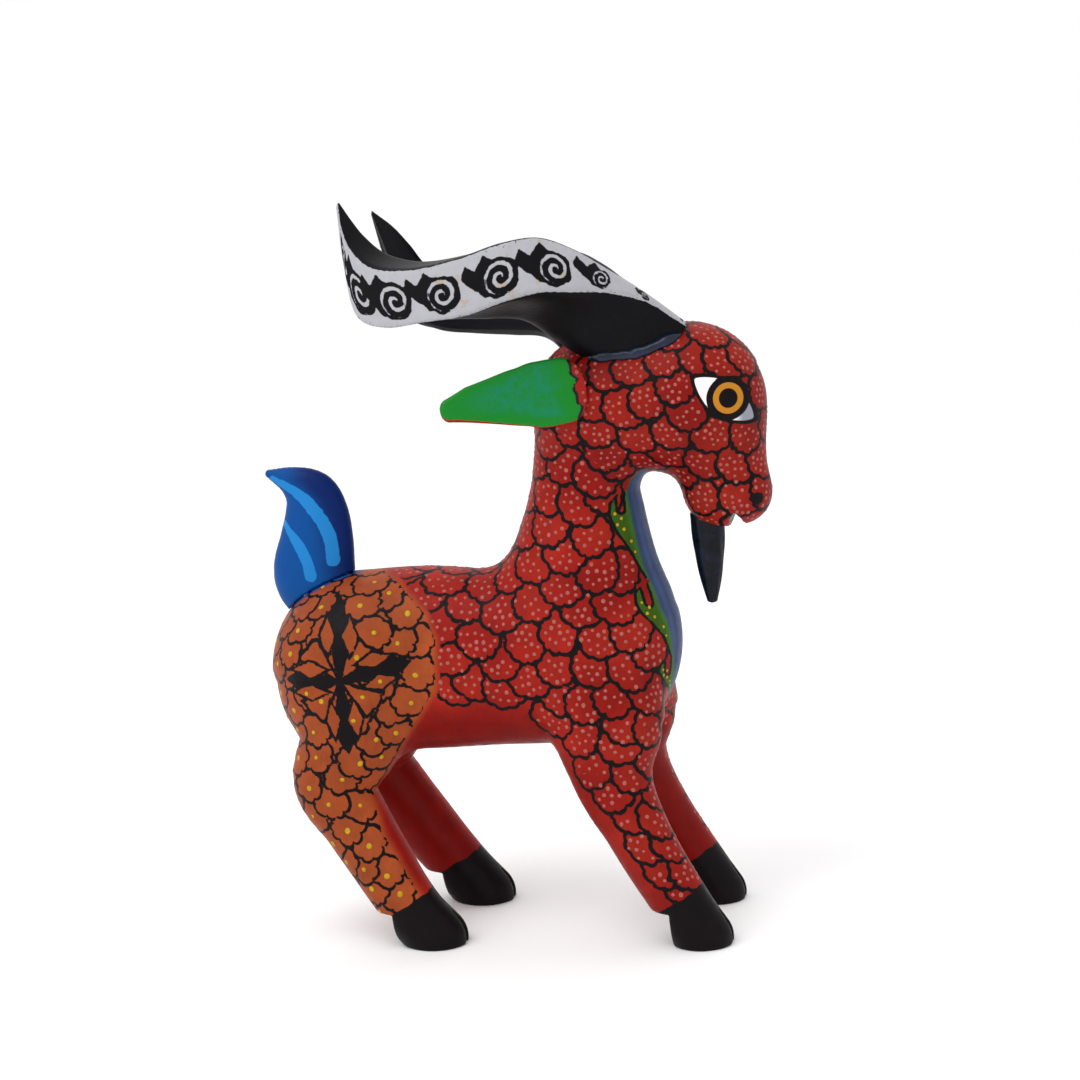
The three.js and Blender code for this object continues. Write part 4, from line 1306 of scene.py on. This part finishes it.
class GOAT_OT_dots(bpy.types.Operator):
    """Dab the pink dots on the scales and the yellow ones on the petals and the chest scroll"""

    bl_idname = "goat.dab_dots"
    bl_label = "Dab the dots"

    def execute(self, context):
        settings = context.scene.goat_dots
        scattered, single = dab_tree("Scattered dabs", True), dab_tree("Single dabs", False)
        pink = dab_material("pink_acrylic_dab", settings.pink)
        yellow = dab_material("yellow_acrylic_dab", settings.yellow)
        for number, name in enumerate(("body", "head", "front_leg_right", "front_leg_left")):
            small = name == "head"
            values = {
                "Dab radius": settings.head_radius if small else settings.radius,
                "Dab height": settings.height,
                "Dab spacing": settings.head_spacing if small else settings.spacing,
                "Seed": 11 + number,
                "Paint": pink,
            }
            lay_dabs("pink_dots_" + name, studio[name].data, scattered, values)
            if small:
                studio["pink_dabs"] = (scattered, values)
        for kind, slot, radius, (places, facing) in (
            ("petals", "haunch_paint", settings.petal_radius, self.yellow_places()),
            ("scroll", "body_paint", settings.radius * 0.8, self.scroll_places()),
        ):
            spots = spots_mesh(kind + "_spots", places, facing)
            values = {"Dab radius": radius, "Dab height": settings.height * 1.3, "Dab spacing": 0.0}
            lay_dabs("yellow_dots_" + kind, spots, single, {**values, "Seed": 3, "Paint": yellow})
        return {"FINISHED"}

    def yellow_places(self):
        """The middle of every petal and wedge that shows, a little off centre."""
        petals = studio["coat"].petals
        points, normals = studio["points"], studio["normals"]
        rng = np.random.default_rng(5)
        wanted = list(petals.centres + petals.along * 0.8 + rng.normal(0, 0.5, petals.centres.shape))
        u, w = painter_plane(points)
        outward = normals[:, 1] * np.sign(points[:, 1])
        for place in wedge_dots():
            for side in (-1, 1):
                hidden = (np.sign(points[:, 1]) != side) | (outward < 0.3)
                off = np.hypot(u - place[0], w - place[1]) + 99.0 * hidden
                wanted.append(points[off.argmin()])
        found = np.array([((points - p) ** 2).sum(1).argmin() for p in wanted])
        ink = studio["coat"].lay(points[found], normals[found])["ink"]
        found = found[ink > 0.7]
        return points[found], normals[found]

    def scroll_places(self):
        """Six dots down each leaf of the chest scroll, on both sides."""
        points, normals = studio["points"], studio["normals"]
        arc, edge, _ = chest(points)
        wanted = []
        for top, bottom, _, _ in LEAVES:
            drop = top - bottom
            wanted += [(0.72, top - 0.24 * drop), (0.5, top - 0.3 * drop), (0.7, top - 0.37 * drop)]
            wanted += [(0.46, top - 0.44 * drop), (0.28, top - 0.58 * drop), (0.22, top - 0.7 * drop)]
        found = []
        for side in (-1, 1):
            for k, (share, level) in enumerate(wanted):
                bulge = LEAVES[k // 6][2]
                hidden = (np.sign(points[:, 1]) != side) | (normals[:, 0] < 0.05) | (points[:, 0] < 20)
                off = np.hypot(arc - edge - bulge * share, points[:, 2] - level) + 99.0 * hidden
                found.append(int(off.argmin()))
        found = np.array(found)
        return points[found], normals[found]


def horn_rings(sag, breadth, steps):
    """The rings of a right horn, and where in each ring the side from its lower edge round to its top begins.
    """
    rails = []
    for rail in (HORN_TOP, HORN_INNER, HORN_FOOT, HORN_RIM, HORN_LOW):
        rows = np.array(rail, float)
        rows[:, 2] -= sag
        if rail is HORN_INNER:
            rows[:, 0] += breadth
        rails.append(smooth_path(rows, steps))
    scoops = [0, 0.12, 0, 0.22, -0.05]
    counts = [16, 16, 12, 28, 36]
    rails = np.stack(rails, 1)
    middle = rails.mean(1)
    rings = []
    for side, (scoop, count) in enumerate(zip(scoops, counts)):
        start, end = rails[:, side], rails[:, (side + 1) % 5]
        for k in range(count):
            t = 0.04 + 0.92 * (k + 0.5) / count
            flat = start + (end - start) * t
            rings.append(flat + (middle - flat) * (scoop * 4 * t * (1 - t)))
    rings = np.stack(rings, 1)
    for _ in range(3):
        rings = 0.5 * rings + 0.25 * (np.roll(rings, 1, 1) + np.roll(rings, -1, 1))
    return rings, sum(counts[:4])


# Where each scroll sits along the white band, from the brow, and the outline of the slanted flag behind one:
# how far towards the tip and how far up from the middle of its scroll.
SCROLLS = (0.5, 16.5, 33.0, 49.2, 67.3, 87.0, 103.4, 118.0, 131.0)
SCROLL_PITCH = 3.1
FLAG = [
    (12.8, 3.0), (11.2, 7.0), (8.0, 4.2), (5, 8.3), (2.0, 5.7), (-2, 5.4), (1, -5.5), (5.5, -4.5),
    (7.2, -2.4), (9.4, -0.8),
]


def scroll_motif(along, up, height):
    """Distance outside the black scroll and its slanted flag, repeated along the white band."""
    k = np.clip(height / 18, 0.05, 1.1)
    motif = np.full(along.shape, CLEAR)
    for place in SCROLLS:
        a = (along - place) / k
        b = (up - 0.45 * height) / k
        r = np.hypot(a, b)
        flag = -inside_outline(a.ravel(), b.ravel(), FLAG).reshape(a.shape)
        black = np.minimum(r - 6.1 + 0.25 * np.sin(5 * np.arctan2(b, a) + place), flag)
        swirl = r - SCROLL_PITCH * (np.arctan2(b, -a) / (2 * math.pi)) - 0.35
        white = np.abs(swirl - np.round(swirl / SCROLL_PITCH) * SCROLL_PITCH) - 0.58
        white = np.maximum.reduce([white, r - 5.1, 0.7 - r])
        motif = np.minimum(motif, np.maximum(black, -white) * k)
    return motif


def put_on_side(rows, side, shift):
    """Rows of the right side in the part's own frame, or mirrored and shifted for the left."""
    placed = rows + OFFSET
    if side > 0:
        placed = placed * [1, -1, 1] + shift + [0, 2 * OFFSET[1], 0]
    return placed


def seat_on_figure(points, gap):
    """Moves the points that would lie inside the figure out to just above it."""
    near = solid_figure(points)
    deep = np.flatnonzero(near < gap)
    if len(deep):
        points[deep] = onto(solid_figure, points[deep], level=gap, turns=5)
    return points


class GOAT_OT_horns(bpy.types.Operator):
    """Carve the two plug-in horns, paint their scrolls and run a bead round their roots"""

    bl_idname = "goat.carve_horns"
    bl_label = "Carve the horns"

    def execute(self, context):
        settings = context.scene.goat_horns
        band = horn_material(settings.white, settings.black)
        # The bead's navy blotches are a painted bluish highlight.
        bead = plain_material("glossy_black_bead", linear("#050a16"), linear("#0b1f3a"), 5.0, 0.3, 0.25, 0.5)
        none = np.zeros(len(HORN_TOP))
        for name, side, sag, breadth, shift in (
            ("horn_right", -1, none, none, np.zeros(3)),
            ("horn_left", 1, np.array(LEFT_SAG), np.array(LEFT_BREADTH), LEFT_SHIFT),
        ):
            rings, low = horn_rings(sag, breadth, 22)
            along = np.concatenate([[0], np.cumsum(np.linalg.norm(np.diff(rings[:, -18], axis=0), axis=1))])
            around = np.linalg.norm(np.diff(rings, axis=1, append=rings[:, :1]), axis=2)
            round_it = np.cumsum(around, 1) - around
            start = round_it[:, low - 1 : low] + around[:, low - 1 : low] / 2
            end = round_it[:, -1:] + around[:, -1:] / 2
            depth = np.minimum(round_it - start, end - round_it)
            depth = np.maximum(depth, -round_it - around[:, -1:] / 2)
            height = (end - start) * np.ones_like(round_it)
            up = round_it - start
            length = along[:, None] * np.ones_like(round_it)
            motif = scroll_motif(length, up, height)
            ink = np.minimum(np.clip(depth, -4, 9) + 0.1, np.where(up > -1, motif, CLEAR))

            rings = put_on_side(rings, side, shift)
            if side > 0:
                rings, ink, depth = rings[:, ::-1], ink[:, ::-1], depth[:, ::-1]
            flat = seat_on_figure(rings.reshape(-1, 3).copy(), 0.2)
            mesh = grid_mesh("painted_" + name, flat.reshape(rings.shape))
            smooth_faces(mesh)
            ends = [-3.0, -3.0]
            write_floats(mesh, "ink", np.concatenate([ink.ravel(), ends]))
            write_floats(mesh, "rim", np.concatenate([np.abs(depth).ravel(), ends]))
            body = "right_horn" if side < 0 else "left_horn"
            piece("painted_" + name, mesh, body, band, [name])
            self.bead(name, body, side, shift, settings.bead / MM, bead)
        return {"FINISHED"}

    def bead(self, name, body, side, shift, radius, material):
        """A thick painted bead where the outer edge of a horn's root meets the crown."""
        path = smooth_path(np.array(HORN_RIM[:7], float) + [0, -0.6, 2.5], 14)
        path = put_on_side(path, side, shift)
        path = path[solid_figure(path) < 3.2]
        path = onto(solid_figure, path, level=0.25, turns=4)
        steps = np.concatenate([[0], np.cumsum(np.linalg.norm(np.diff(path, axis=0), axis=1))])
        even = np.linspace(0, steps[-1], 90)
        path = np.stack([np.interp(even, steps, path[:, k]) for k in range(3)], 1)
        forward = unit(np.gradient(path, axis=0))
        upward = unit(slope(solid_figure, path))
        aside = unit(np.cross(forward, upward))
        end = np.minimum(even, even[-1] - even)
        uneven = 1 + 0.1 * np.sin(even * 0.5) + 0.05 * np.sin(even * 1.3)
        girth = radius * np.clip(end / 4, 0.12, 1) ** 0.5 * uneven
        turn = np.arange(14) * 2 * math.pi / 14
        wide, tall = np.cos(turn)[None, :, None] * 1.25, np.sin(turn)[None, :, None]
        rings = path[:, None] + girth[:, None, None] * (wide * aside[:, None] + tall * upward[:, None])
        mesh = grid_mesh("root_bead_" + name, rings)
        bm = bmesh.new()
        bm.from_mesh(mesh)
        bmesh.ops.recalc_face_normals(bm, faces=bm.faces[:])
        bm.to_mesh(mesh)
        bm.free()
        smooth_faces(mesh)
        piece("root_bead_" + name, mesh, body, material)


class GOAT_OT_ears(bpy.types.Operator):
    """Carve the two leaf-shaped ears, green in the hollow with a red edge"""

    bl_idname = "goat.carve_ears"
    bl_label = "Carve the ears"

    def execute(self, context):
        settings = context.scene.goat_ends
        green = ear_material(settings.ear_green, context.scene.goat_coat.red)
        root, tip = np.array(EAR_ROOT, float), np.array(EAR_TIP, float)
        axis = tip - root
        length = np.linalg.norm(axis)
        axis /= length
        out = np.array([0.16, -1, 0.1])
        out = unit(out - axis * (out @ axis))
        up = np.cross(out, axis)
        shape = smooth_path([(s, half, 0) for s, half in EAR_SHAPE], 12)
        turn = np.arange(72) * 2 * math.pi / 72
        rings, sides, lengths = [], [], []
        half_end = shape[-1, 1]
        tip_turns, root_turns = np.linspace(0, 1.45, 9)[1:], np.linspace(0.08, math.pi / 2, 12)
        tip_reach = 0.8 * half_end / length
        tips = [(1 + tip_reach * math.sin(a), half_end * math.cos(a)) for a in tip_turns]
        roots = [(0.16 - 0.17 * math.cos(a), 12 * math.sin(a) ** 0.62) for a in root_turns]
        for s, half in [*roots, *shape[shape[:, 0] > 0.17, :2], *tips]:
            taper = (1 - 0.45 * min(s, 1)) * (half / half_end if s > 1 else 1)
            hollow = 2.4 - 2.0 * np.sin(turn) ** 2 * math.sin(math.pi * min(s, 1))
            depth = np.where(np.sin(turn) > 0, hollow, 4.8) * taper
            centre = root + axis * (s * length)
            belly = np.interp(s, [0, 0.3, 0.55, 0.85, 1.02], [2.9, 2.2, 0.3, -1.3, -0.4])
            lift = np.clip(-np.cos(turn), 0, 1) ** 1.5 * belly
            rings.append(
                centre + (np.cos(turn) * half + lift)[:, None] * up + (depth * np.sin(turn))[:, None] * out
            )
            sides.append(np.sin(turn) * half + 0.4 - 3.2 * ramp(np.cos(turn), 0.2, 0.9))
            lengths.append(np.full(len(turn), s * length))
        rings, sides, lengths = np.array(rings), np.array(sides), np.array(lengths)
        for name, side, shift in (("ear_right", -1, np.zeros(3)), ("ear_left", 1, LEFT_SHIFT)):
            placed = put_on_side(rings, side, shift)
            own, reach = sides, lengths
            if side > 0:
                placed, own, reach = placed[:, ::-1], own[:, ::-1], reach[:, ::-1]
            flat = seat_on_figure(placed.reshape(-1, 3).copy(), -0.3)
            mesh = grid_mesh("painted_" + name, flat.reshape(placed.shape))
            smooth_faces(mesh)
            points = points_of(mesh)
            inward = np.concatenate([own.ravel(), [0.0, 0.0]])
            from_root = np.concatenate([reach.ravel(), [-2.0, length]])
            mirror = np.array([1, -side, 1])
            across = (points - OFFSET - root * mirror) @ (up * mirror)
            scallop = 1.9 + 1.5 * np.abs(np.sin(across * 0.36 + 0.5)) ** 0.6 + 0.4 * np.sin(across * 1.3)
            write_floats(mesh, "green", np.minimum(inward, from_root - scallop))
            write_floats(mesh, "ink", np.where(inward > -3, np.abs(from_root - scallop) - 0.55, CLEAR))
            write_floats(mesh, "dots", ((from_root < scallop - 1.0) & (inward > -2)).astype(float))
            piece("painted_" + name, mesh, "figure", green, [name])
            scattered, values = studio["pink_dabs"]
            lay_dabs("pink_dots_" + name, mesh, scattered, {**values, "Seed": 23})
        return {"FINISHED"}


def ear_material(green, red):
    """Bright green acrylic with a teal painted sheen across the middle of the hollow, bordered by the coat's
    red and its brush lines.
    """
    material, tree, shader = new_material("green_acrylic_ear")
    # Painted sheen: teal blotches laid over the green in the middle of the hollow.
    painted_sheen = spread_range(tree, object_noise(tree, 3.2, 5.0, 0.65), 0.3, 0.65, 0.1, 0.75, smooth=True)
    inside = attribute(tree, "green").outputs["Fac"]
    hollow = spread_range(tree, inside, 3.0, 9.0, 0.0, 1.0, smooth=True)
    sheen_share = math_node(tree, "MULTIPLY", painted_sheen, hollow)
    leaf = mix_colour(tree, sheen_share, (*green, 1.0), rgba("#0a7a5a"))
    edge = brushed_edge(tree, "green", 2.4, 3.0, 0.5)
    is_green = spread_range(tree, edge, -0.25, 0.25, 0.0, 1.0, smooth=True)
    colour = mix_colour(tree, is_green, (*red, 1.0), leaf)
    inked = spread_range(tree, attribute(tree, "ink").outputs["Fac"], -0.1, 0.1, 1.0, 0.0, smooth=True)
    colour = mix_colour(tree, inked, colour, rgba("#141016"))
    tree.links.new(colour, shader.inputs["Base Color"])
    uneven_gloss(tree, shader, 2.0, 0.3, 0.45)
    brushed_bump(tree, shader, 0.8, 1.6, distance_mm=0.25)
    shader.inputs["Coat Weight"].default_value = 0.18
    shader.inputs["Coat Roughness"].default_value = 0.25
    return material


TAIL_GRAIN = 0.6  # width of the faces that the tail is carved in
# Each brush stroke on the tail: points along it in x and z, and its half-width.
TAIL_STROKES = [
    ([(-82.5, 156.6), (-73.1, 151.2), (-66.7, 144.3), (-63.2, 136.9), (-62.5, 128.7)], 2.2),
    ([(-79.6, 141.6), (-74.3, 134.6), (-71.6, 129.0), (-70.4, 123.6)], 2.0),
]


def stroke_distance(x, z, rows, half):
    """Distance outside a brush stroke that thickens from its tip."""
    path = smooth_path([(a, b, 0) for a, b in rows], 8)[:, :2]
    best = np.full(len(x), 99.0)
    for k, ((ax, az), (bx, bz)) in enumerate(zip(path[:-1], path[1:])):
        dx, dz = bx - ax, bz - az
        t = np.clip(((x - ax) * dx + (z - az) * dz) / (dx * dx + dz * dz), 0, 1)
        width = half * min(1, 0.45 + 1.6 * k / len(path))
        best = np.minimum(best, np.hypot(x - ax - dx * t, z - az - dz * t) - width)
    return best


class GOAT_OT_tail(bpy.types.Operator):
    """Carve the plug-in tail and brush its two light strokes"""

    bl_idname = "goat.carve_tail"
    bl_label = "Carve the tail"

    def execute(self, context):
        settings = context.scene.goat_ends
        material = tail_material(settings.tail_blue, settings.tail_light)

        def tail(points):
            return carve_away(tail_distance(points), solid_figure(points) - 0.25, 0.3)

        low, high = np.array([-100, -12, 98]) + OFFSET, np.array([-58, 12, 166]) + OFFSET
        points, faces = carve(tail, low, high, TAIL_GRAIN)
        mesh = mesh_of("painted_tail", points, faces)
        smooth_faces(mesh)
        x, _, z = points.T
        stroke = np.minimum.reduce([stroke_distance(x, z, rows, half) for rows, half in TAIL_STROKES])
        write_floats(mesh, "stroke", stroke)
        back = np.interp(z, [110, 122, 134, 143, 149, 156], [-58, -60, -61, -62, -64.5, -71])
        write_floats(mesh, "shade", ramp(x - back, -9, 2))
        piece("painted_tail", mesh, "plug_tail", material, ["tail"])
        return {"FINISHED"}


def tail_material(blue, light):
    """Deep blue acrylic, darker towards the back edge, with two translucent strokes of lighter blue."""
    material, tree, shader = new_material("blue_acrylic_tail")
    mottle = spread_range(tree, object_noise(tree, 5.0, 4.0), 0.3, 0.7, 0.0, 0.35)
    base = mix_colour(tree, mottle, (*blue, 1.0), faded(blue, 0.8))
    shade = attribute(tree, "shade").outputs["Fac"]
    base = mix_colour(tree, shade, base, rgba("#011f5c"))
    edge = brushed_edge(tree, "stroke", 2.0, 3.0, 0.25)
    stroke = spread_range(tree, edge, -0.15, 0.15, 0.92, 0.0, smooth=True)
    colour = mix_colour(tree, stroke, base, (*light, 1.0))
    tree.links.new(colour, shader.inputs["Base Color"])
    uneven_gloss(tree, shader, 2.0, 0.36, 0.5)
    brushed_bump(tree, shader, 0.4)
    return material


# The beard's radius at levels down from the chin, tip first.
BEARD_PROFILE = [(0.35, -30.4), (1.5, -29.9), (1.95, -28.6), (3.5, -22), (5.1, -11), (5.7, 0)]


class GOAT_OT_beard(bpy.types.Operator):
    """Whittle the hanging beard"""

    bl_idname = "goat.whittle_beard"
    bl_label = "Whittle the beard"

    def execute(self, context):
        settings = context.scene.goat_ends
        profile = smooth_path([(r, z, 0) for r, z in BEARD_PROFILE], 12)
        turn = np.arange(96) * 2 * math.pi / 96
        facets = 1 + 0.018 * np.cos(9 * turn) + 0.012 * np.cos(5 * turn + 1)
        middle = np.array([BEARD_X, 0, 141]) + OFFSET
        rings = []
        for r, z, _ in profile:
            twist = 1 + 0.012 * np.sin(7 * turn + z * 0.5)
            x, y = r * np.cos(turn) * facets * twist, r * 0.82 * np.sin(turn) * facets * twist
            rings.append(np.stack([x, y, np.full_like(x, z)], 1) + middle)
        mesh = grid_mesh("painted_beard", np.array(rings))
        smooth_faces(mesh)
        black = np.array(settings.beard_black)
        # The beard's blue streaks are a painted highlight.
        material = plain_material("black_acrylic_beard", black, linear("#0c1626"), 3.0, 0.32, 0.9, 0.12)
        piece("painted_beard", mesh, "figure", material, ["beard"])
        return {"FINISHED"}


class GOAT_OT_dowels(bpy.types.Operator):
    """Give the dowels and pegs their bare wood"""

    bl_idname = "goat.finish_dowels"
    bl_label = "Finish the dowels"

    def execute(self, context):
        wood = copal_material()
        for name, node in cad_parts.items():
            if "dowel" in name or "peg" in name:
                node.data.materials.clear()
                node.data.materials.append(wood)
        return {"FINISHED"}


CAMERA_TARGET = (8.07, 0, 132.1)
ROOM_HALF = 4.0  # half the width of the backdrop, and how far it runs towards the camera, in metres
BEND_RADIUS = 0.7  # of the curve between floor and wall
BEND_START = 1.6


class GOAT_OT_stage(bpy.types.Operator):
    """Lay the pale floor, hang the soft lights and set the camera"""

    bl_idname = "goat.set_stage"
    bl_label = "Set the stage"

    def execute(self, context):
        settings = context.scene.goat_studio
        scene = context.scene
        scene.view_settings.view_transform = "Standard"
        mesh = bpy.data.meshes.new("studio_floor")
        quarter = np.linspace(0, math.pi / 2, 25)
        run, rise = BEND_START + BEND_RADIUS * np.sin(quarter), BEND_RADIUS - BEND_RADIUS * np.cos(quarter)
        bend = [(float(y), float(z)) for y, z in zip(run, rise)]
        profile = [(-ROOM_HALF, 0.0), *bend, (BEND_START + BEND_RADIUS, ROOM_HALF)]
        corners = [(x, y, z) for y, z in profile for x in (-ROOM_HALF, ROOM_HALF)]
        strips = [(2 * i, 2 * i + 1, 2 * i + 3, 2 * i + 2) for i in range(len(profile) - 1)]
        mesh.from_pydata(corners, [], strips)
        mesh.polygons.foreach_set("use_smooth", np.ones(len(strips), bool))
        floor = bpy.data.objects.new("studio_floor", mesh)
        scene.collection.objects.link(floor)
        mesh.materials.append(floor_material(settings.floor))

        world = bpy.data.worlds.new("studio_air")
        world.use_nodes = True
        world.node_tree.nodes["Background"].inputs[0].default_value = (1, 1, 1, 1)
        world.node_tree.nodes["Background"].inputs[1].default_value = 1.0
        scene.world = world
        self.lamp(scene, "key_light", (-0.35, -0.55, 1.2), 0.7, 4.5)
        self.lamp(scene, "front_light", (-0.8, -0.9, 0.7), 0.7, 1.6)
        self.lamp(scene, "back_light", (-0.3, 0.7, 1.2), 1.0, 2)

        a, e, roll = settings.azimuth, settings.elevation, settings.roll
        back = np.array([math.sin(a) * math.cos(e), -math.cos(a) * math.cos(e), math.sin(e)])
        level = np.array([math.cos(a), math.sin(a), 0])
        upright = np.cross(back, level)
        right = math.cos(roll) * level - math.sin(roll) * upright
        up = math.sin(roll) * level + math.cos(roll) * upright
        target = np.array(CAMERA_TARGET) * MM
        place = target + back * settings.distance
        lens = bpy.data.cameras.new("camera")
        lens.lens = 90
        lens.sensor_width = 36
        lens.clip_start = 0.05
        camera = bpy.data.objects.new("camera", lens)
        scene.collection.objects.link(camera)
        camera.matrix_world = standing(right, up, back, place)
        scene.camera = camera
        return {"FINISHED"}

    def lamp(self, scene, name, place, size, power):
        light = bpy.data.lights.new(name, "AREA")
        light.size = size
        light.energy = power
        lamp = bpy.data.objects.new(name, light)
        scene.collection.objects.link(lamp)
        lamp.location = place
        aim = unit(np.array(place) - np.array([0, 0, 0.12]))
        aside = unit(np.cross([0, 0, 1.0], aim))
        lamp.matrix_world = standing(aside, np.cross(aim, aside), aim, place)


def standing(aside, up, back, place):
    """The matrix that stands a camera or lamp at a place, looking away from its back."""
    columns = [[*(float(v) for v in part), 0.0] for part in (aside, up, back)]
    return [*columns, [*(float(v) for v in place), 1.0]]


def floor_material(colour):
    """Seamless backdrop paper: white, dead matt, with a barely visible tooth."""
    material, tree, shader = new_material("matt_backdrop_paper")
    tooth = spread_range(tree, object_noise(tree, 1.5), 0.3, 0.7, 0.985, 1.0)
    tree.links.new(toned_by(tree, tuple(colour), tooth), shader.inputs["Base Color"])
    shader.inputs["Roughness"].default_value = 0.9
    return material


class GOAT_PT_panel(bpy.types.Panel):
    """The goat's pieces in the order they are made"""

    bl_idname = "GOAT_PT_panel"
    bl_label = "Painted wooden goat"
    bl_space_type = "VIEW_3D"
    bl_region_type = "UI"
    bl_category = "Goat"

    def draw(self, context):
        for operator in OPERATORS:
            self.layout.operator(operator.bl_idname)
        for group in GROUPS:
            box = self.layout.box()
            settings = getattr(context.scene, group)
            for name in settings.bl_rna.properties.keys():
                if name not in ("rna_type", "name"):
                    box.prop(settings, name)


GROUPS = {
    "goat_coat": GoatCoat,
    "goat_dots": GoatDots,
    "goat_horns": GoatHorns,
    "goat_ends": GoatEnds,
    "goat_studio": GoatStudio,
}
OPERATORS = (
    GOAT_OT_figure,
    GOAT_OT_dots,
    GOAT_OT_horns,
    GOAT_OT_ears,
    GOAT_OT_tail,
    GOAT_OT_beard,
    GOAT_OT_dowels,
    GOAT_OT_stage,
)


def register():
    for name, group in GROUPS.items():
        bpy.utils.register_class(group)
        setattr(bpy.types.Scene, name, bpy.props.PointerProperty(type=group))
    for cls in (*OPERATORS, GOAT_PT_panel):
        bpy.utils.register_class(cls)


def unregister():
    for cls in (GOAT_PT_panel, *reversed(OPERATORS)):
        bpy.utils.unregister_class(cls)
    for name, group in GROUPS.items():
        delattr(bpy.types.Scene, name)
        bpy.utils.unregister_class(group)


def main():
    register()
    bpy.ops.goat.carve_figure()
    bpy.ops.goat.dab_dots()
    bpy.ops.goat.carve_horns()
    bpy.ops.goat.carve_ears()
    bpy.ops.goat.carve_tail()
    bpy.ops.goat.whittle_beard()
    bpy.ops.goat.finish_dowels()
    bpy.ops.goat.set_stage()


if __name__ == "__main__":
    main()
